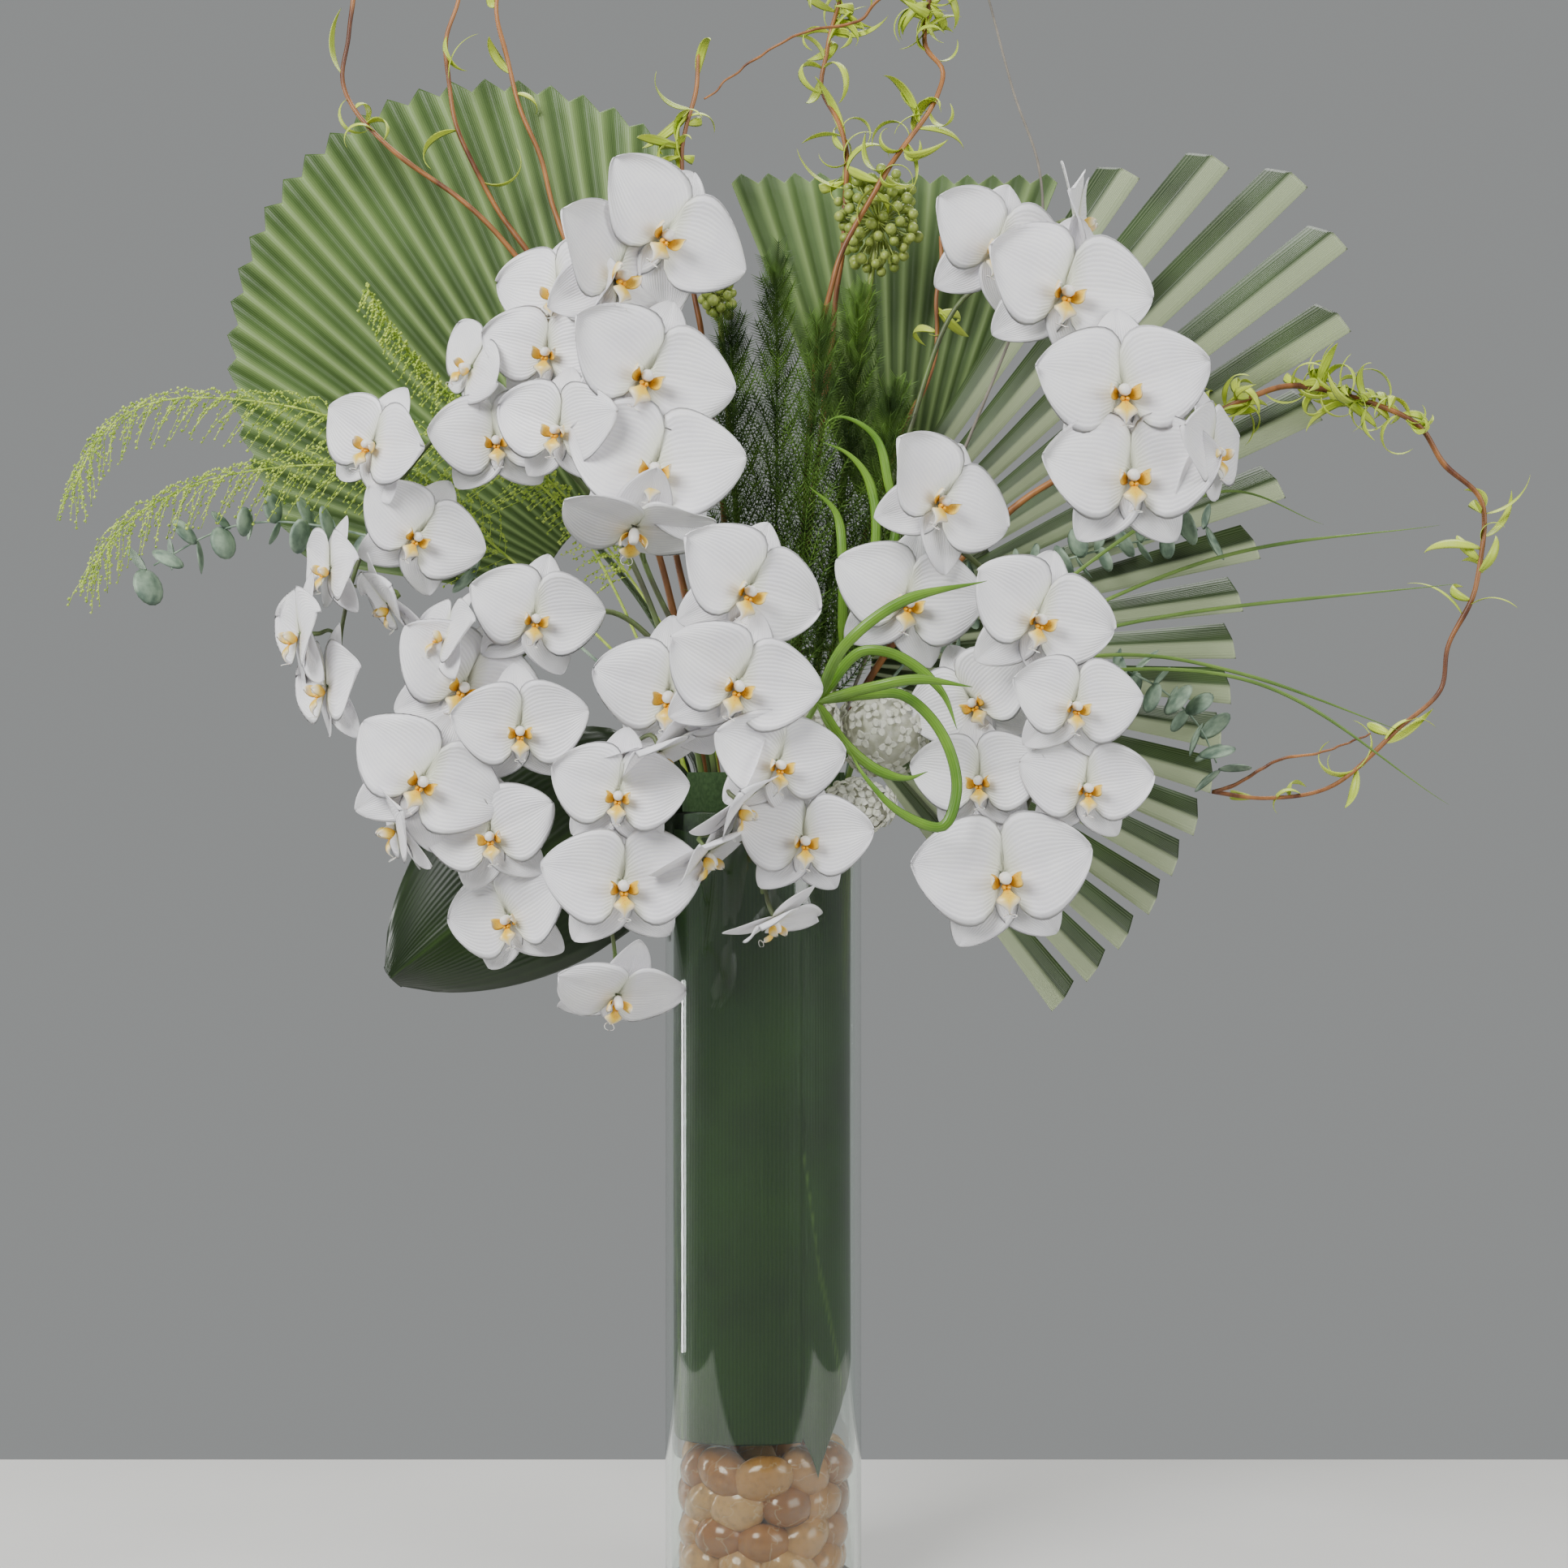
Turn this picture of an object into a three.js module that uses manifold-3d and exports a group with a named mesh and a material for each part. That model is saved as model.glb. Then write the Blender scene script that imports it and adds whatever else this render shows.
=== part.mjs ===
// A cut-flower arrangement of white moth orchids in a tall glass cylinder vase.
// Millimetres, +Z up, front towards -Y. The origin is the centre of the vase's flat underside.
import * as THREE from "three";
import { mergeVertices } from "three/addons/utils/BufferGeometryUtils.js";
import Module from "manifold-3d";

const wasm = await Module();
wasm.setup();

// ---- Driving dimensions ----

const VASE_HEIGHT = 610;
const VASE_RADIUS = 76;
const GLASS_WALL = 5;
const GLASS_BASE = 15;
const GLASS_EDGE = 1.5; // the small bevel on every glass edge
const GLASS_SIDES = 32;

const CLEARANCE = 0.4; // between pieces that touch
const LEAF_THICKNESS = 1; // of each leaf that lines the glass
const LINER_STEP = 1.8; // from one lining leaf's radius to the next one inside it
const LINER_RADIUS = VASE_RADIUS - GLASS_WALL - 1.1;
const LINER_TOP = 596;

const PEBBLE_LENGTH = 42;
const PEBBLE_SHAPE = [0.8, 0.8, 0.72]; // a stone's half sizes over half its length
const PEBBLE_RING = 47; // the radius on which the outer stones' centres stand
const PEBBLES_IN_RING = 8;
const PEBBLE_LAYERS = 2;
const PEBBLE_CORE = 54; // the radius of the plain core behind the outer stones
const PEBBLE_BED_TOP = 118;
const FOAM_RADIUS = 63;
const FOAM_BOTTOM = 520;
const FOAM_TOP = 640;
const STEM_FOOT = 590; // the height that every stem is pushed down to in the foam

const STALK = 60; // an orchid bloom's own stalk, from the stem to the bloom's centre
const STALK_RADIUS = 1.3;
const SPRAY_STEM_RADIUS = 2.6;
const BLOOM_THICKNESS = 5;
const BLOOM_SHARE = 0.86; // the plain bloom's width over the real one's, whose rims curl

// The four widths of open bloom, from the fullest to the last ones to open.
const LARGE = 125;
const MEDIUM = 110;
const SMALL = 95;
const YOUNG = 80;

const PALM_THICKNESS = 1.6;
const GRASS_THICKNESS = 1.4;

// ---- Geometry helpers ----

const vector = ([x, y, z]) => new THREE.Vector3(x, y, z);
const degrees = THREE.MathUtils.degToRad;

// A closed three.js geometry as a manifold solid that faces out.
function solidOf(geometry) {
  const bare = geometry.clone();
  bare.deleteAttribute("normal");
  bare.deleteAttribute("uv");
  const merged = mergeVertices(bare, 1e-3);
  const triVerts = new Uint32Array(merged.index.array);
  const vertProperties = merged.attributes.position.array;
  const solid = new wasm.Manifold(new wasm.Mesh({ numProp: 3, vertProperties, triVerts }));
  if (solid.volume() > 0) return solid;
  for (let i = 0; i < triVerts.length; i += 3) {
    [triVerts[i + 1], triVerts[i + 2]] = [triVerts[i + 2], triVerts[i + 1]];
  }
  return new wasm.Manifold(new wasm.Mesh({ numProp: 3, vertProperties, triVerts }));
}

function geometryOf(solid) {
  const { numProp, numVert, vertProperties, triVerts } = solid.getMesh();
  const places = new Float32Array(numVert * 3);
  for (let i = 0; i < numVert; i++) {
    places.set(vertProperties.subarray(i * numProp, i * numProp + 3), i * 3);
  }
  const geometry = new THREE.BufferGeometry();
  geometry.setAttribute("position", new THREE.BufferAttribute(places, 3));
  geometry.setIndex(new THREE.BufferAttribute(triVerts, 1));
  const flat = geometry.toNonIndexed();
  flat.computeVertexNormals();
  return flat;
}

const joined = (solids) => solids.reduce((whole, next) => whole.add(next));

// The largest body of a solid, for a piece that a neighbour has trimmed a crumb from.
function mainBody(solid) {
  return solid.decompose().reduce((best, next) => (next.volume() > best.volume() ? next : best));
}

function ring(radius, sides) {
  return Array.from({ length: sides }, (_, i) => {
    const turn = (2 * Math.PI * i) / sides;
    return new THREE.Vector2(radius * Math.cos(turn), radius * Math.sin(turn));
  });
}

// An outline carried along the smooth curve through the points.
function swept(outline, points, steps) {
  const extrudePath = new THREE.CatmullRomCurve3(points.map(vector), false, "centripetal");
  return solidOf(new THREE.ExtrudeGeometry(new THREE.Shape(outline), { steps, extrudePath }));
}

const tube = (points, radius, steps, sides = 5) => swept(ring(radius, sides), points, steps);

// The point at a share of the way along a tube's middle, which runs straight between its steps.
function stationOn(points, steps, share) {
  const curve = new THREE.CatmullRomCurve3(points.map(vector), false, "centripetal");
  const before = Math.min(Math.floor(share * steps), steps - 1);
  const after = curve.getPointAt((before + 1) / steps);
  return curve.getPointAt(before / steps).lerp(after, share * steps - before);
}

// A flat blade: a strip of the given width carried along the points.
function blade(points, width, thickness, steps) {
  const [x, y] = [thickness / 2, width / 2];
  const corners = [[-x, -y], [x, -y], [x, y], [-x, y]];
  return swept(corners.map(([a, b]) => new THREE.Vector2(a, b)), points, steps);
}

// A closed slab on both sides of the surface point(u, v), with u and v running from 0 to 1. keep(i, j)
// says whether the slab has its cell in column i and row j.
function slab(point, columns, rows, thickness, keep = () => true) {
  const step = 1e-3;
  const places = [];
  for (const side of [0.5, -0.5]) {
    for (let j = 0; j <= rows; j++) {
      for (let i = 0; i <= columns; i++) {
        const [u, v] = [i / columns, j / rows];
        const [u0, u1] = [Math.max(u - step, 0), Math.min(u + step, 1)];
        const [v0, v1] = [Math.max(v - step, 0), Math.min(v + step, 1)];
        const across = vector(point(u1, v)).sub(vector(point(u0, v)));
        const along = vector(point(u, v1)).sub(vector(point(u, v0)));
        const normal = across.cross(along).normalize();
        places.push(...vector(point(u, v)).addScaledVector(normal, side * thickness));
      }
    }
  }
  const index = [];
  const quad = (a, b, c, d) => index.push(a, b, c, a, c, d);
  const layer = (columns + 1) * (rows + 1);
  const at = (i, j) => j * (columns + 1) + i;
  const has = (i, j) => i >= 0 && j >= 0 && i < columns && j < rows && keep(i, j);
  for (let j = 0; j < rows; j++) {
    for (let i = 0; i < columns; i++) {
      if (!has(i, j)) continue;
      const corners = [at(i, j), at(i + 1, j), at(i + 1, j + 1), at(i, j + 1)];
      const [a, b, c, d] = corners;
      quad(a, b, c, d);
      quad(layer + a, layer + d, layer + c, layer + b);
      const beside = [has(i, j - 1), has(i + 1, j), has(i, j + 1), has(i - 1, j)];
      corners.forEach((from, k) => {
        const to = corners[(k + 1) % 4];
        if (!beside[k]) quad(to, from, layer + from, layer + to);
      });
    }
  }
  const geometry = new THREE.BufferGeometry();
  geometry.setAttribute("position", new THREE.Float32BufferAttribute(places, 3));
  geometry.setIndex(index);
  return solidOf(geometry);
}

// A faceted ellipsoid with the three half sizes.
function lump([x, y, z], [rx, ry, rz], detail = 1) {
  const geometry = new THREE.IcosahedronGeometry(1, detail);
  geometry.scale(rx, ry, rz);
  geometry.translate(x, y, z);
  return solidOf(geometry);
}

// ---- The arrangement, built up piece by piece ----
// Each piece is made once at its own size and once with room round it. The room is what later pieces
// are cut back by, so that no two of them overlap.

const arrangement = new THREE.Group();
const rooms = [];

const finishes = {
  glass: { color: "#e4efe9", roughness: 0.03, metalness: 0 },
  stone: { color: "#9c6b35", roughness: 0.3, metalness: 0 },
  foam: { color: "#3f5a34", roughness: 0.95, metalness: 0 },
  petal: { color: "#f2f0f2", roughness: 0.5, metalness: 0 },
  palm: { color: "#5d7640", roughness: 0.55, metalness: 0 },
  palmLight: { color: "#8fa56b", roughness: 0.55, metalness: 0 },
  darkLeaf: { color: "#1c2e0c", roughness: 0.35, metalness: 0 },
  liner: { color: "#284208", roughness: 0.3, metalness: 0 },
  grass: { color: "#6f9a30", roughness: 0.4, metalness: 0 },
  bark: { color: "#8a4f2c", roughness: 0.7, metalness: 0 },
  greyBark: { color: "#7b7670", roughness: 0.85, metalness: 0 },
  lime: { color: "#9bb43a", roughness: 0.7, metalness: 0 },
  fern: { color: "#37531e", roughness: 0.8, metalness: 0 },
  berry: { color: "#93a24a", roughness: 0.5, metalness: 0 },
  cream: { color: "#e6e5d6", roughness: 0.8, metalness: 0 },
  eucalyptus: { color: "#7d9480", roughness: 0.7, metalness: 0 },
};

// shape(room) gives the piece's solid, thicker by room all round.
function place(name, finish, shape) {
  let solid = shape(0);
  for (const other of rooms) {
    if (solid.intersect(other).volume() > 0) solid = solid.subtract(other);
  }
  const material = new THREE.MeshStandardMaterial(finishes[finish]);
  const mesh = new THREE.Mesh(geometryOf(mainBody(solid)), material);
  mesh.name = name;
  arrangement.add(mesh);
  rooms.push(shape(CLEARANCE));
}

// ---- Vase, pebbles and lining ----

function glassVase() {
  const inner = VASE_RADIUS - GLASS_WALL;
  const e = GLASS_EDGE;
  const profile = [
    [0, 0], [VASE_RADIUS - e, 0], [VASE_RADIUS, e], [VASE_RADIUS, VASE_HEIGHT - e],
    [VASE_RADIUS - e, VASE_HEIGHT], [inner + e, VASE_HEIGHT], [inner, VASE_HEIGHT - e],
    [inner, GLASS_BASE], [0, GLASS_BASE],
  ];
  const geometry = new THREE.LatheGeometry(profile.map(([r, z]) => new THREE.Vector2(r, z)), GLASS_SIDES);
  return solidOf(geometry.rotateX(Math.PI / 2));
}

// A leaf wrapped inside the glass, from the turn angle start over the angle sweep, both in degrees
// from +X. Its lower edge rises from the tip, at the share tipAt of its width, to the shoulders.
function liningLeaf({ order, start, sweep, tip, shoulder, tipAt }) {
  const radius = LINER_RADIUS - LEAF_THICKNESS / 2 - order * LINER_STEP;
  return slab((u, v) => {
    const turn = degrees(start + sweep * u);
    const away = Math.abs(u - tipAt) / Math.max(tipAt, 1 - tipAt);
    const bottom = tip + (shoulder - tip) * Math.min(1, away) ** 0.75;
    return [radius * Math.cos(turn), radius * Math.sin(turn), bottom + (LINER_TOP - bottom) * v];
  }, 12, 2, LEAF_THICKNESS);
}

const LINERS = {
  liner_leaf_left: { order: 0, start: 150, sweep: 145, tip: 130, shoulder: 135, tipAt: 0.4 },
  liner_leaf_right: { order: 1, start: 270, sweep: 125, tip: 105, shoulder: 250, tipAt: 0.3 },
  liner_leaf_back: { order: 2, start: 20, sweep: 145, tip: 120, shoulder: 190, tipAt: 0.5 },
};

// The river pebbles joined into one bed: layers of stones pressed against a plain core.
function pebbleBed() {
  const floor = GLASS_BASE + CLEARANCE;
  const half = PEBBLE_LENGTH / 2;
  const sizes = PEBBLE_SHAPE.map((share) => share * half);
  const coreHeight = PEBBLE_BED_TOP - floor - half / 2;
  const core = new THREE.CylinderGeometry(PEBBLE_CORE, PEBBLE_CORE, coreHeight, 12);
  core.rotateX(Math.PI / 2).translate(0, 0, floor + coreHeight / 2);
  const stones = [solidOf(core)];
  for (let layer = 0; layer < PEBBLE_LAYERS; layer++) {
    const height = floor + sizes[0] + layer * 3 * sizes[0];
    for (let i = 0; i < PEBBLES_IN_RING; i++) {
      const turn = (2 * Math.PI * (i + layer / 2)) / PEBBLES_IN_RING;
      const spot = [PEBBLE_RING * Math.cos(turn), PEBBLE_RING * Math.sin(turn), height];
      stones.push(lump(spot, sizes, 0));
    }
  }
  return joined(stones);
}

place("glass_vase", "glass", glassVase);
for (const [name, row] of Object.entries(LINERS)) place(name, "liner", () => liningLeaf(row));
place("pebble_bed", "stone", pebbleBed);

// ---- Orchid sprays ----

// One open bloom as a plate with five lobes: a top sepal, two broad petals and two lower sepals, each
// lobe given as [angle, half angle] in degrees, seen from the front.
const LOBES = [[90, 18], [12, 28], [305, 16], [235, 16], [168, 28]];

function bloom(size, room) {
  const reach = (size * BLOOM_SHARE) / 2 + room;
  const outline = LOBES.flatMap(([angle, half]) => {
    return [half, -half].map((offset) => {
      const turn = degrees(angle + offset);
      return new THREE.Vector2(reach * Math.cos(turn), reach * Math.sin(turn));
    });
  });
  const depth = BLOOM_THICKNESS + 2 * room;
  const plate = new THREE.ExtrudeGeometry(new THREE.Shape(outline), { depth, bevelEnabled: false });
  return plate.translate(0, 0, -depth / 2);
}

// A spray grown in one piece: its stem, and the blooms on their stalks. share is how far along the
// stem a stalk leaves it, across and rise are the stalk's reach to the right and up, and the rest of
// its length carries the bloom forwards. turn, tilt and roll are the bloom's own angles in degrees.
function orchidSpray({ route, blooms }, room) {
  const steps = 2 * route.length;
  const parts = [tube(route, SPRAY_STEM_RADIUS + room, steps)];
  for (const [share, across, rise, size, turn, tilt, roll] of blooms) {
    const start = stationOn(route, steps, share);
    const forwards = Math.sqrt(STALK ** 2 - across ** 2 - rise ** 2);
    const centre = start.clone().add(new THREE.Vector3(across, -forwards, rise));
    const facing = new THREE.Euler(degrees(90 - tilt), 0, degrees(turn), "ZXY");
    const placed = bloom(size, room)
      .rotateZ(degrees(-roll))
      .applyQuaternion(new THREE.Quaternion().setFromEuler(facing))
      .translate(...centre);
    parts.push(solidOf(placed), tube([start.toArray(), centre.toArray()], STALK_RADIUS + room, 1, 3));
  }
  return joined(parts);
}

const SPRAYS = {
  top: {
    route: [
      [-20, 5, STEM_FOOT], [-35, -5, 680], [-90, -55, 800], [-115, -60, 900], [-110, -45, 1000],
      [-100, -30, 1060],
    ],
    blooms: [
      [0.97, 30, -5, LARGE, 25, 0, 35],
      [0.88, 0, 5, LARGE, 45, 5, 20],
      [0.86, -40, 5, SMALL, -25, 5, 0],
      [0.79, -45, -5, SMALL, -10, 0, 5],
      [0.75, 30, -5, LARGE, 15, 0, 25],
      [0.66, -35, 0, SMALL, -20, 0, 5],
      [0.6, 30, 0, LARGE, 5, 5, 10],
      [0.46, -5, 25, MEDIUM, 0, -60, 15],
    ],
  },
  left: {
    route: [
      [-40, 10, STEM_FOOT], [-60, 0, 690], [-130, -10, 850], [-220, -25, 915], [-290, -40, 840],
      [-320, -45, 750],
      [-320, -45, 690],
    ],
    blooms: [
      [0.58, -10, 30, YOUNG, -50, 10, 40],
      [0.6, 20, -25, SMALL, 5, 0, -5],
      [0.7, -20, 10, SMALL, -30, 5, 20],
      [0.74, 25, -35, SMALL, 15, -5, 30],
      [0.86, -5, 10, YOUNG, -55, 0, 10],
      [0.86, 35, -15, YOUNG, -70, -35, 0],
      [0.92, -20, 0, SMALL, -65, 0, 0],
      [0.98, 0, 0, SMALL, -60, 0, 0],
    ],
  },
  lower_left: {
    route: [
      [-30, -30, STEM_FOOT], [-50, -50, 690], [-115, -80, 760], [-185, -95, 720], [-225, -95, 640],
      [-215, -75, 560],
    ],
    blooms: [
      [0.48, -35, -5, SMALL, 15, 0, 10],
      [0.6, -40, -25, MEDIUM, 10, 0, 30],
      [0.7, 30, -20, SMALL, 5, -5, 0],
      [0.81, -20, -10, MEDIUM, 10, 0, 30],
      [0.66, -35, 30, YOUNG, -60, 20, 0],
      [0.86, -40, -20, SMALL, -75, -20, 0],
      [0.92, 25, 0, SMALL, -5, 0, -10],
      [0.99, 30, -30, SMALL, -20, -5, -15],
    ],
  },
  hanging: {
    route: [
      [-10, -35, STEM_FOOT], [-25, -60, 680], [-70, -100, 730], [-105, -115, 660], [-115, -110, 570],
      [-110, -80, 500],
    ],
    blooms: [
      [0.5, 25, -5, MEDIUM, -10, -10, 5],
      [0.64, 35, 10, SMALL, 60, -60, 0],
      [0.69, 10, 0, SMALL, 0, 0, 5],
      [0.83, 15, -5, MEDIUM, 10, 0, 0],
      [0.99, 5, -25, SMALL, 20, -45, 10],
    ],
  },
  centre: {
    route: [
      [5, -30, STEM_FOOT], [10, -60, 690], [0, -105, 790], [-25, -130, 730], [-20, -130, 650],
      [-5, -115, 590],
      [0, -95, 550],
    ],
    blooms: [
      [0.5, 0, -5, MEDIUM, 25, 0, 25],
      [0.66, 10, 0, MEDIUM, 10, -5, 20],
      [0.79, 30, 5, SMALL, 20, 0, 10],
      [0.82, 0, -10, SMALL, 80, -40, 0],
      [0.9, 35, 0, SMALL, 15, 0, 5],
      [0.92, -35, 0, SMALL, 70, -50, 0],
      [0.99, 10, -20, YOUNG, 60, -60, 0],
    ],
  },
  upper_right: {
    route: [
      [25, 0, STEM_FOOT], [45, -10, 690], [105, -15, 880], [160, -15, 1010], [225, -25, 1010],
      [275, -45, 920],
      [300, -50, 860],
    ],
    blooms: [
      [0.68, -5, 15, MEDIUM, 20, 0, 20],
      [0.72, 30, 40, SMALL, 80, 0, 0],
      [0.75, 0, -10, LARGE, 15, 0, 15],
      [0.89, -5, -5, LARGE, 5, 0, 0],
      [0.97, 40, 0, SMALL, 50, 0, 0],
      [0.99, -25, -5, LARGE, 5, 0, 0],
    ],
  },
  lower_right: {
    route: [
      [30, -25, STEM_FOOT], [50, -40, 690], [95, -55, 810], [150, -70, 805], [200, -80, 730], [205, -75, 640],
      [185, -60, 575],
    ],
    blooms: [
      [0.46, 20, 25, MEDIUM, 30, 5, 35],
      [0.5, -25, -45, MEDIUM, 15, 0, 15],
      [0.64, 15, -10, MEDIUM, 20, 0, 20],
      [0.71, -45, -35, SMALL, -15, 0, -30],
      [0.79, 20, 5, SMALL, 15, 0, 10],
      [0.88, -45, 0, SMALL, -10, 0, -5],
      [0.9, 35, 5, SMALL, 10, 0, 5],
      [0.99, -10, -15, LARGE, 5, 0, -5],
    ],
  },
};

// ---- Palm fans ----
// A fan lies in an upright plane. Its pleats run out from a hub, and polar gives the place at a turn
// angle in degrees, a distance from the hub and a distance in front of the fan's plane.

const polar = ([x, y, z], angle, distance, forwards = 0) => [
  x + distance * Math.cos(degrees(angle)),
  y - forwards,
  z + distance * Math.sin(degrees(angle)),
];

const PLEAT_DEPTH = 0.009; // of a pleat, as a share of the distance from the hub
const FINGER_FOLD = 0.035; // how far a finger's middle stands forward, as a share of that distance

// A pleated fan trimmed in one piece. outer(angle) is its trimmed edge's distance from the hub.
function palmFan({ hub, from, to, pleats, inner, outer, stalk }, room) {
  const sheet = slab((u, v) => {
    const angle = from + (to - from) * u;
    const distance = inner + (outer(angle) - inner) * v;
    const fold = Math.abs(((u * pleats) % 1) - 0.5) * 4 - 1;
    return polar(hub, angle, distance, fold * PLEAT_DEPTH * distance);
  }, 2 * pleats, 1, PALM_THICKNESS + 2 * room);
  const middle = polar(hub, (from + to) / 2, inner + 25);
  return sheet.add(tube([...stalk, hub, middle], 3.5 + room, 8));
}

const LEFT_FAN = {
  hub: [-90, 60, 765],
  from: 86,
  to: 171,
  pleats: 26,
  inner: 90,
  outer: (angle) => 300 + 165 * Math.cos(degrees(1.9 * (angle - 120))),
  stalk: [[-40, 40, STEM_FOOT], [-50, 50, 680]],
};

const BACK_FAN = {
  hub: [105, 90, 790],
  from: 68,
  to: 112,
  pleats: 13,
  inner: 80,
  outer: (angle) => 335 / Math.sin(degrees(angle)),
  stalk: [[10, 50, STEM_FOOT], [30, 75, 680]],
};

const RIGHT_FAN = {
  hub: [25, 40, 730],
  from: -54,
  to: 60,
  fingers: 19,
  gap: 0.2, // of each finger's share of the turn
  inner: 60,
  split: 175, // the distance from the hub where the fingers part
  outer: (angle) => 340 + 205 * Math.exp(-(((angle - 42) / 20) ** 2)),
  stalk: [[35, 45, STEM_FOOT], [40, 45, 660]],
};

// A fan split into fingers, each folded along its middle. In each finger's three columns the third
// is the gap to the next finger, which is open past the split.
function splitFan({ hub, from, to, fingers, gap, inner, split, outer, stalk }, room) {
  const columns = 3 * fingers - 1;
  const pitch = (to - from) / fingers;
  const edges = [0, (1 - gap) / 2, 1 - gap];
  const sheet = slab((u, v) => {
    const column = Math.min(Math.floor(u * columns + 1e-9), columns - 1);
    const start = Math.floor(column / 3);
    const within = [...edges, 1];
    const part = u * columns - column;
    const share = within[column % 3] + (within[(column % 3) + 1] - within[column % 3]) * part;
    const angle = from + pitch * (start + share);
    const middle = from + pitch * (start + edges[1]);
    const reach = outer(middle);
    const distance = v < 0.5 ? inner + (split - inner) * 2 * v : split + (reach - split) * (2 * v - 1);
    const ridge = Math.max(0, 1 - Math.abs(share - edges[1]) / edges[1]);
    return polar(hub, angle, distance, ridge * FINGER_FOLD * distance);
  }, columns, 2, PALM_THICKNESS + 2 * room, (i, j) => j === 0 || i % 3 < 2);
  return sheet.add(tube([...stalk, hub, polar(hub, 5, inner + 30)], 4 + room, 6));
}

// ---- Collar leaves ----

// A broad leaf from its base to its tip, cupped by the share cup of its half width.
function broadLeaf({ base, tip, halfWidth, cup, stalk }, room) {
  const along = vector(tip).sub(vector(base));
  const side = along.clone().cross(new THREE.Vector3(0, 1, 0)).normalize();
  const sheet = slab((u, v) => {
    const half = halfWidth * Math.max(Math.sin(Math.PI * v ** 0.8), 0.03) ** 0.6;
    const across = 2 * u - 1;
    const spot = vector(base).addScaledVector(along, v).addScaledVector(side, across * half);
    spot.y += cup * halfWidth * across ** 2;
    return spot.toArray();
  }, 4, 5, PALM_THICKNESS + 2 * room);
  const middle = vector(base).addScaledVector(along, 0.12).toArray();
  return sheet.add(tube([...stalk, base, middle], 2.5 + room, 6));
}

const COLLAR_LEAVES = {
  collar_leaf_left: {
    base: [-75, -20, 650],
    tip: [-290, 5, 480],
    halfWidth: 85,
    cup: 0.12,
    stalk: [[-50, -15, STEM_FOOT], [-55, -20, 630]],
  },
  collar_leaf_middle: {
    base: [-80, 55, 670],
    tip: [-125, 60, 505],
    halfWidth: 40,
    cup: 0.15,
    stalk: [[-50, 30, STEM_FOOT], [-55, 35, 650]],
  },
};

// ---- Willow ----

const WILLOW_RADIUS = 3;
const SHOOT_RADIUS = 1.5;

const WILLOWS = {
  willow_left_outer: [
    [-40, 20, STEM_FOOT], [-55, 25, 690], [-110, 20, 900], [-190, 15, 1040], [-240, 15, 1090],
    [-295, 15, 1130],
    [-320, 20, 1160], [-330, 20, 1185], [-325, 20, 1220], [-320, 20, 1255], [-335, 20, 1290],
    [-325, 20, 1325],
  ],
  willow_left_inner: [
    [-30, 30, STEM_FOOT], [-45, 35, 690], [-95, 30, 900], [-180, 30, 1040], [-210, 30, 1085],
    [-230, 30, 1120],
    [-245, 30, 1165], [-250, 30, 1210], [-240, 30, 1250], [-250, 30, 1300],
  ],
  willow_left_high: [
    [-15, 40, STEM_FOOT], [-30, 50, 690], [-85, 45, 900], [-155, 40, 1055], [-165, 40, 1085],
    [-175, 40, 1120],
    [-190, 40, 1160], [-205, 40, 1210], [-210, 40, 1250], [-195, 40, 1315],
  ],
  willow_short: [
    [-10, 25, STEM_FOOT], [-15, 30, 700], [-45, 30, 950], [-65, 25, 1120], [-60, 25, 1145], [-55, 25, 1170],
    [-50, 25, 1205],
  ],
  willow_centre_left: [
    [10, 35, STEM_FOOT], [20, 40, 700], [50, 40, 950], [65, 30, 1105], [60, 30, 1150], [45, 30, 1180],
    [50, 30, 1210], [60, 30, 1250], [50, 30, 1300],
  ],
  willow_centre_right: [
    [15, 20, STEM_FOOT], [25, 20, 700], [40, 5, 950], [55, -10, 1025], [70, -10, 1060], [90, -15, 1095],
    [110, -10, 1125], [135, -5, 1165], [140, 0, 1185], [125, 0, 1205], [130, 0, 1245], [140, 0, 1290],
    [135, 0, 1335],
  ],
  willow_right_short: [
    [25, 40, STEM_FOOT], [45, 35, 700], [105, 25, 900], [125, 20, 940], [135, 20, 965], [135, 20, 990],
    [140, 20, 1060],
  ],
  willow_loop_right: [
    [45, 20, STEM_FOOT], [70, 20, 690], [200, 10, 850], [340, 5, 915], [375, 0, 930], [410, 0, 940],
    [460, 0, 930],
    [510, 5, 910], [530, 10, 880], [560, 10, 850], [555, 10, 785], [535, 15, 740], [530, 15, 705],
    [495, 10, 675],
    [445, 10, 630], [390, 5, 620], [350, 5, 625],
  ],
};

// The side shoots of a branch: each starts on the branch.
const SHOOTS = {
  willow_centre_right: [
    [135, 0, 1260], [90, 0, 1240], [75, 5, 1225], [30, 5, 1215], [-15, 10, 1190], [-45, 10, 1165],
  ],
  willow_loop_right: [[350, 5, 625], [365, 0, 630], [400, -5, 650], [430, -5, 655], [470, -10, 670]],
};

function willow(name, room) {
  const branch = tube(WILLOWS[name], WILLOW_RADIUS + room, Math.ceil(1.4 * WILLOWS[name].length), 4);
  if (!SHOOTS[name]) return branch;
  return branch.add(tube(SHOOTS[name], SHOOT_RADIUS + room, SHOOTS[name].length, 4));
}

const REED_RADIUS = 1.2;
const REED = [
  [45, 5, STEM_FOOT], [65, 10, 690], [160, 10, 900], [215, 10, 1050], [215, 10, 1110], [195, 10, 1170],
  [175, 10, 1245], [160, 10, 1300],
];

// ---- Filler flowers and foliage ----

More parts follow.
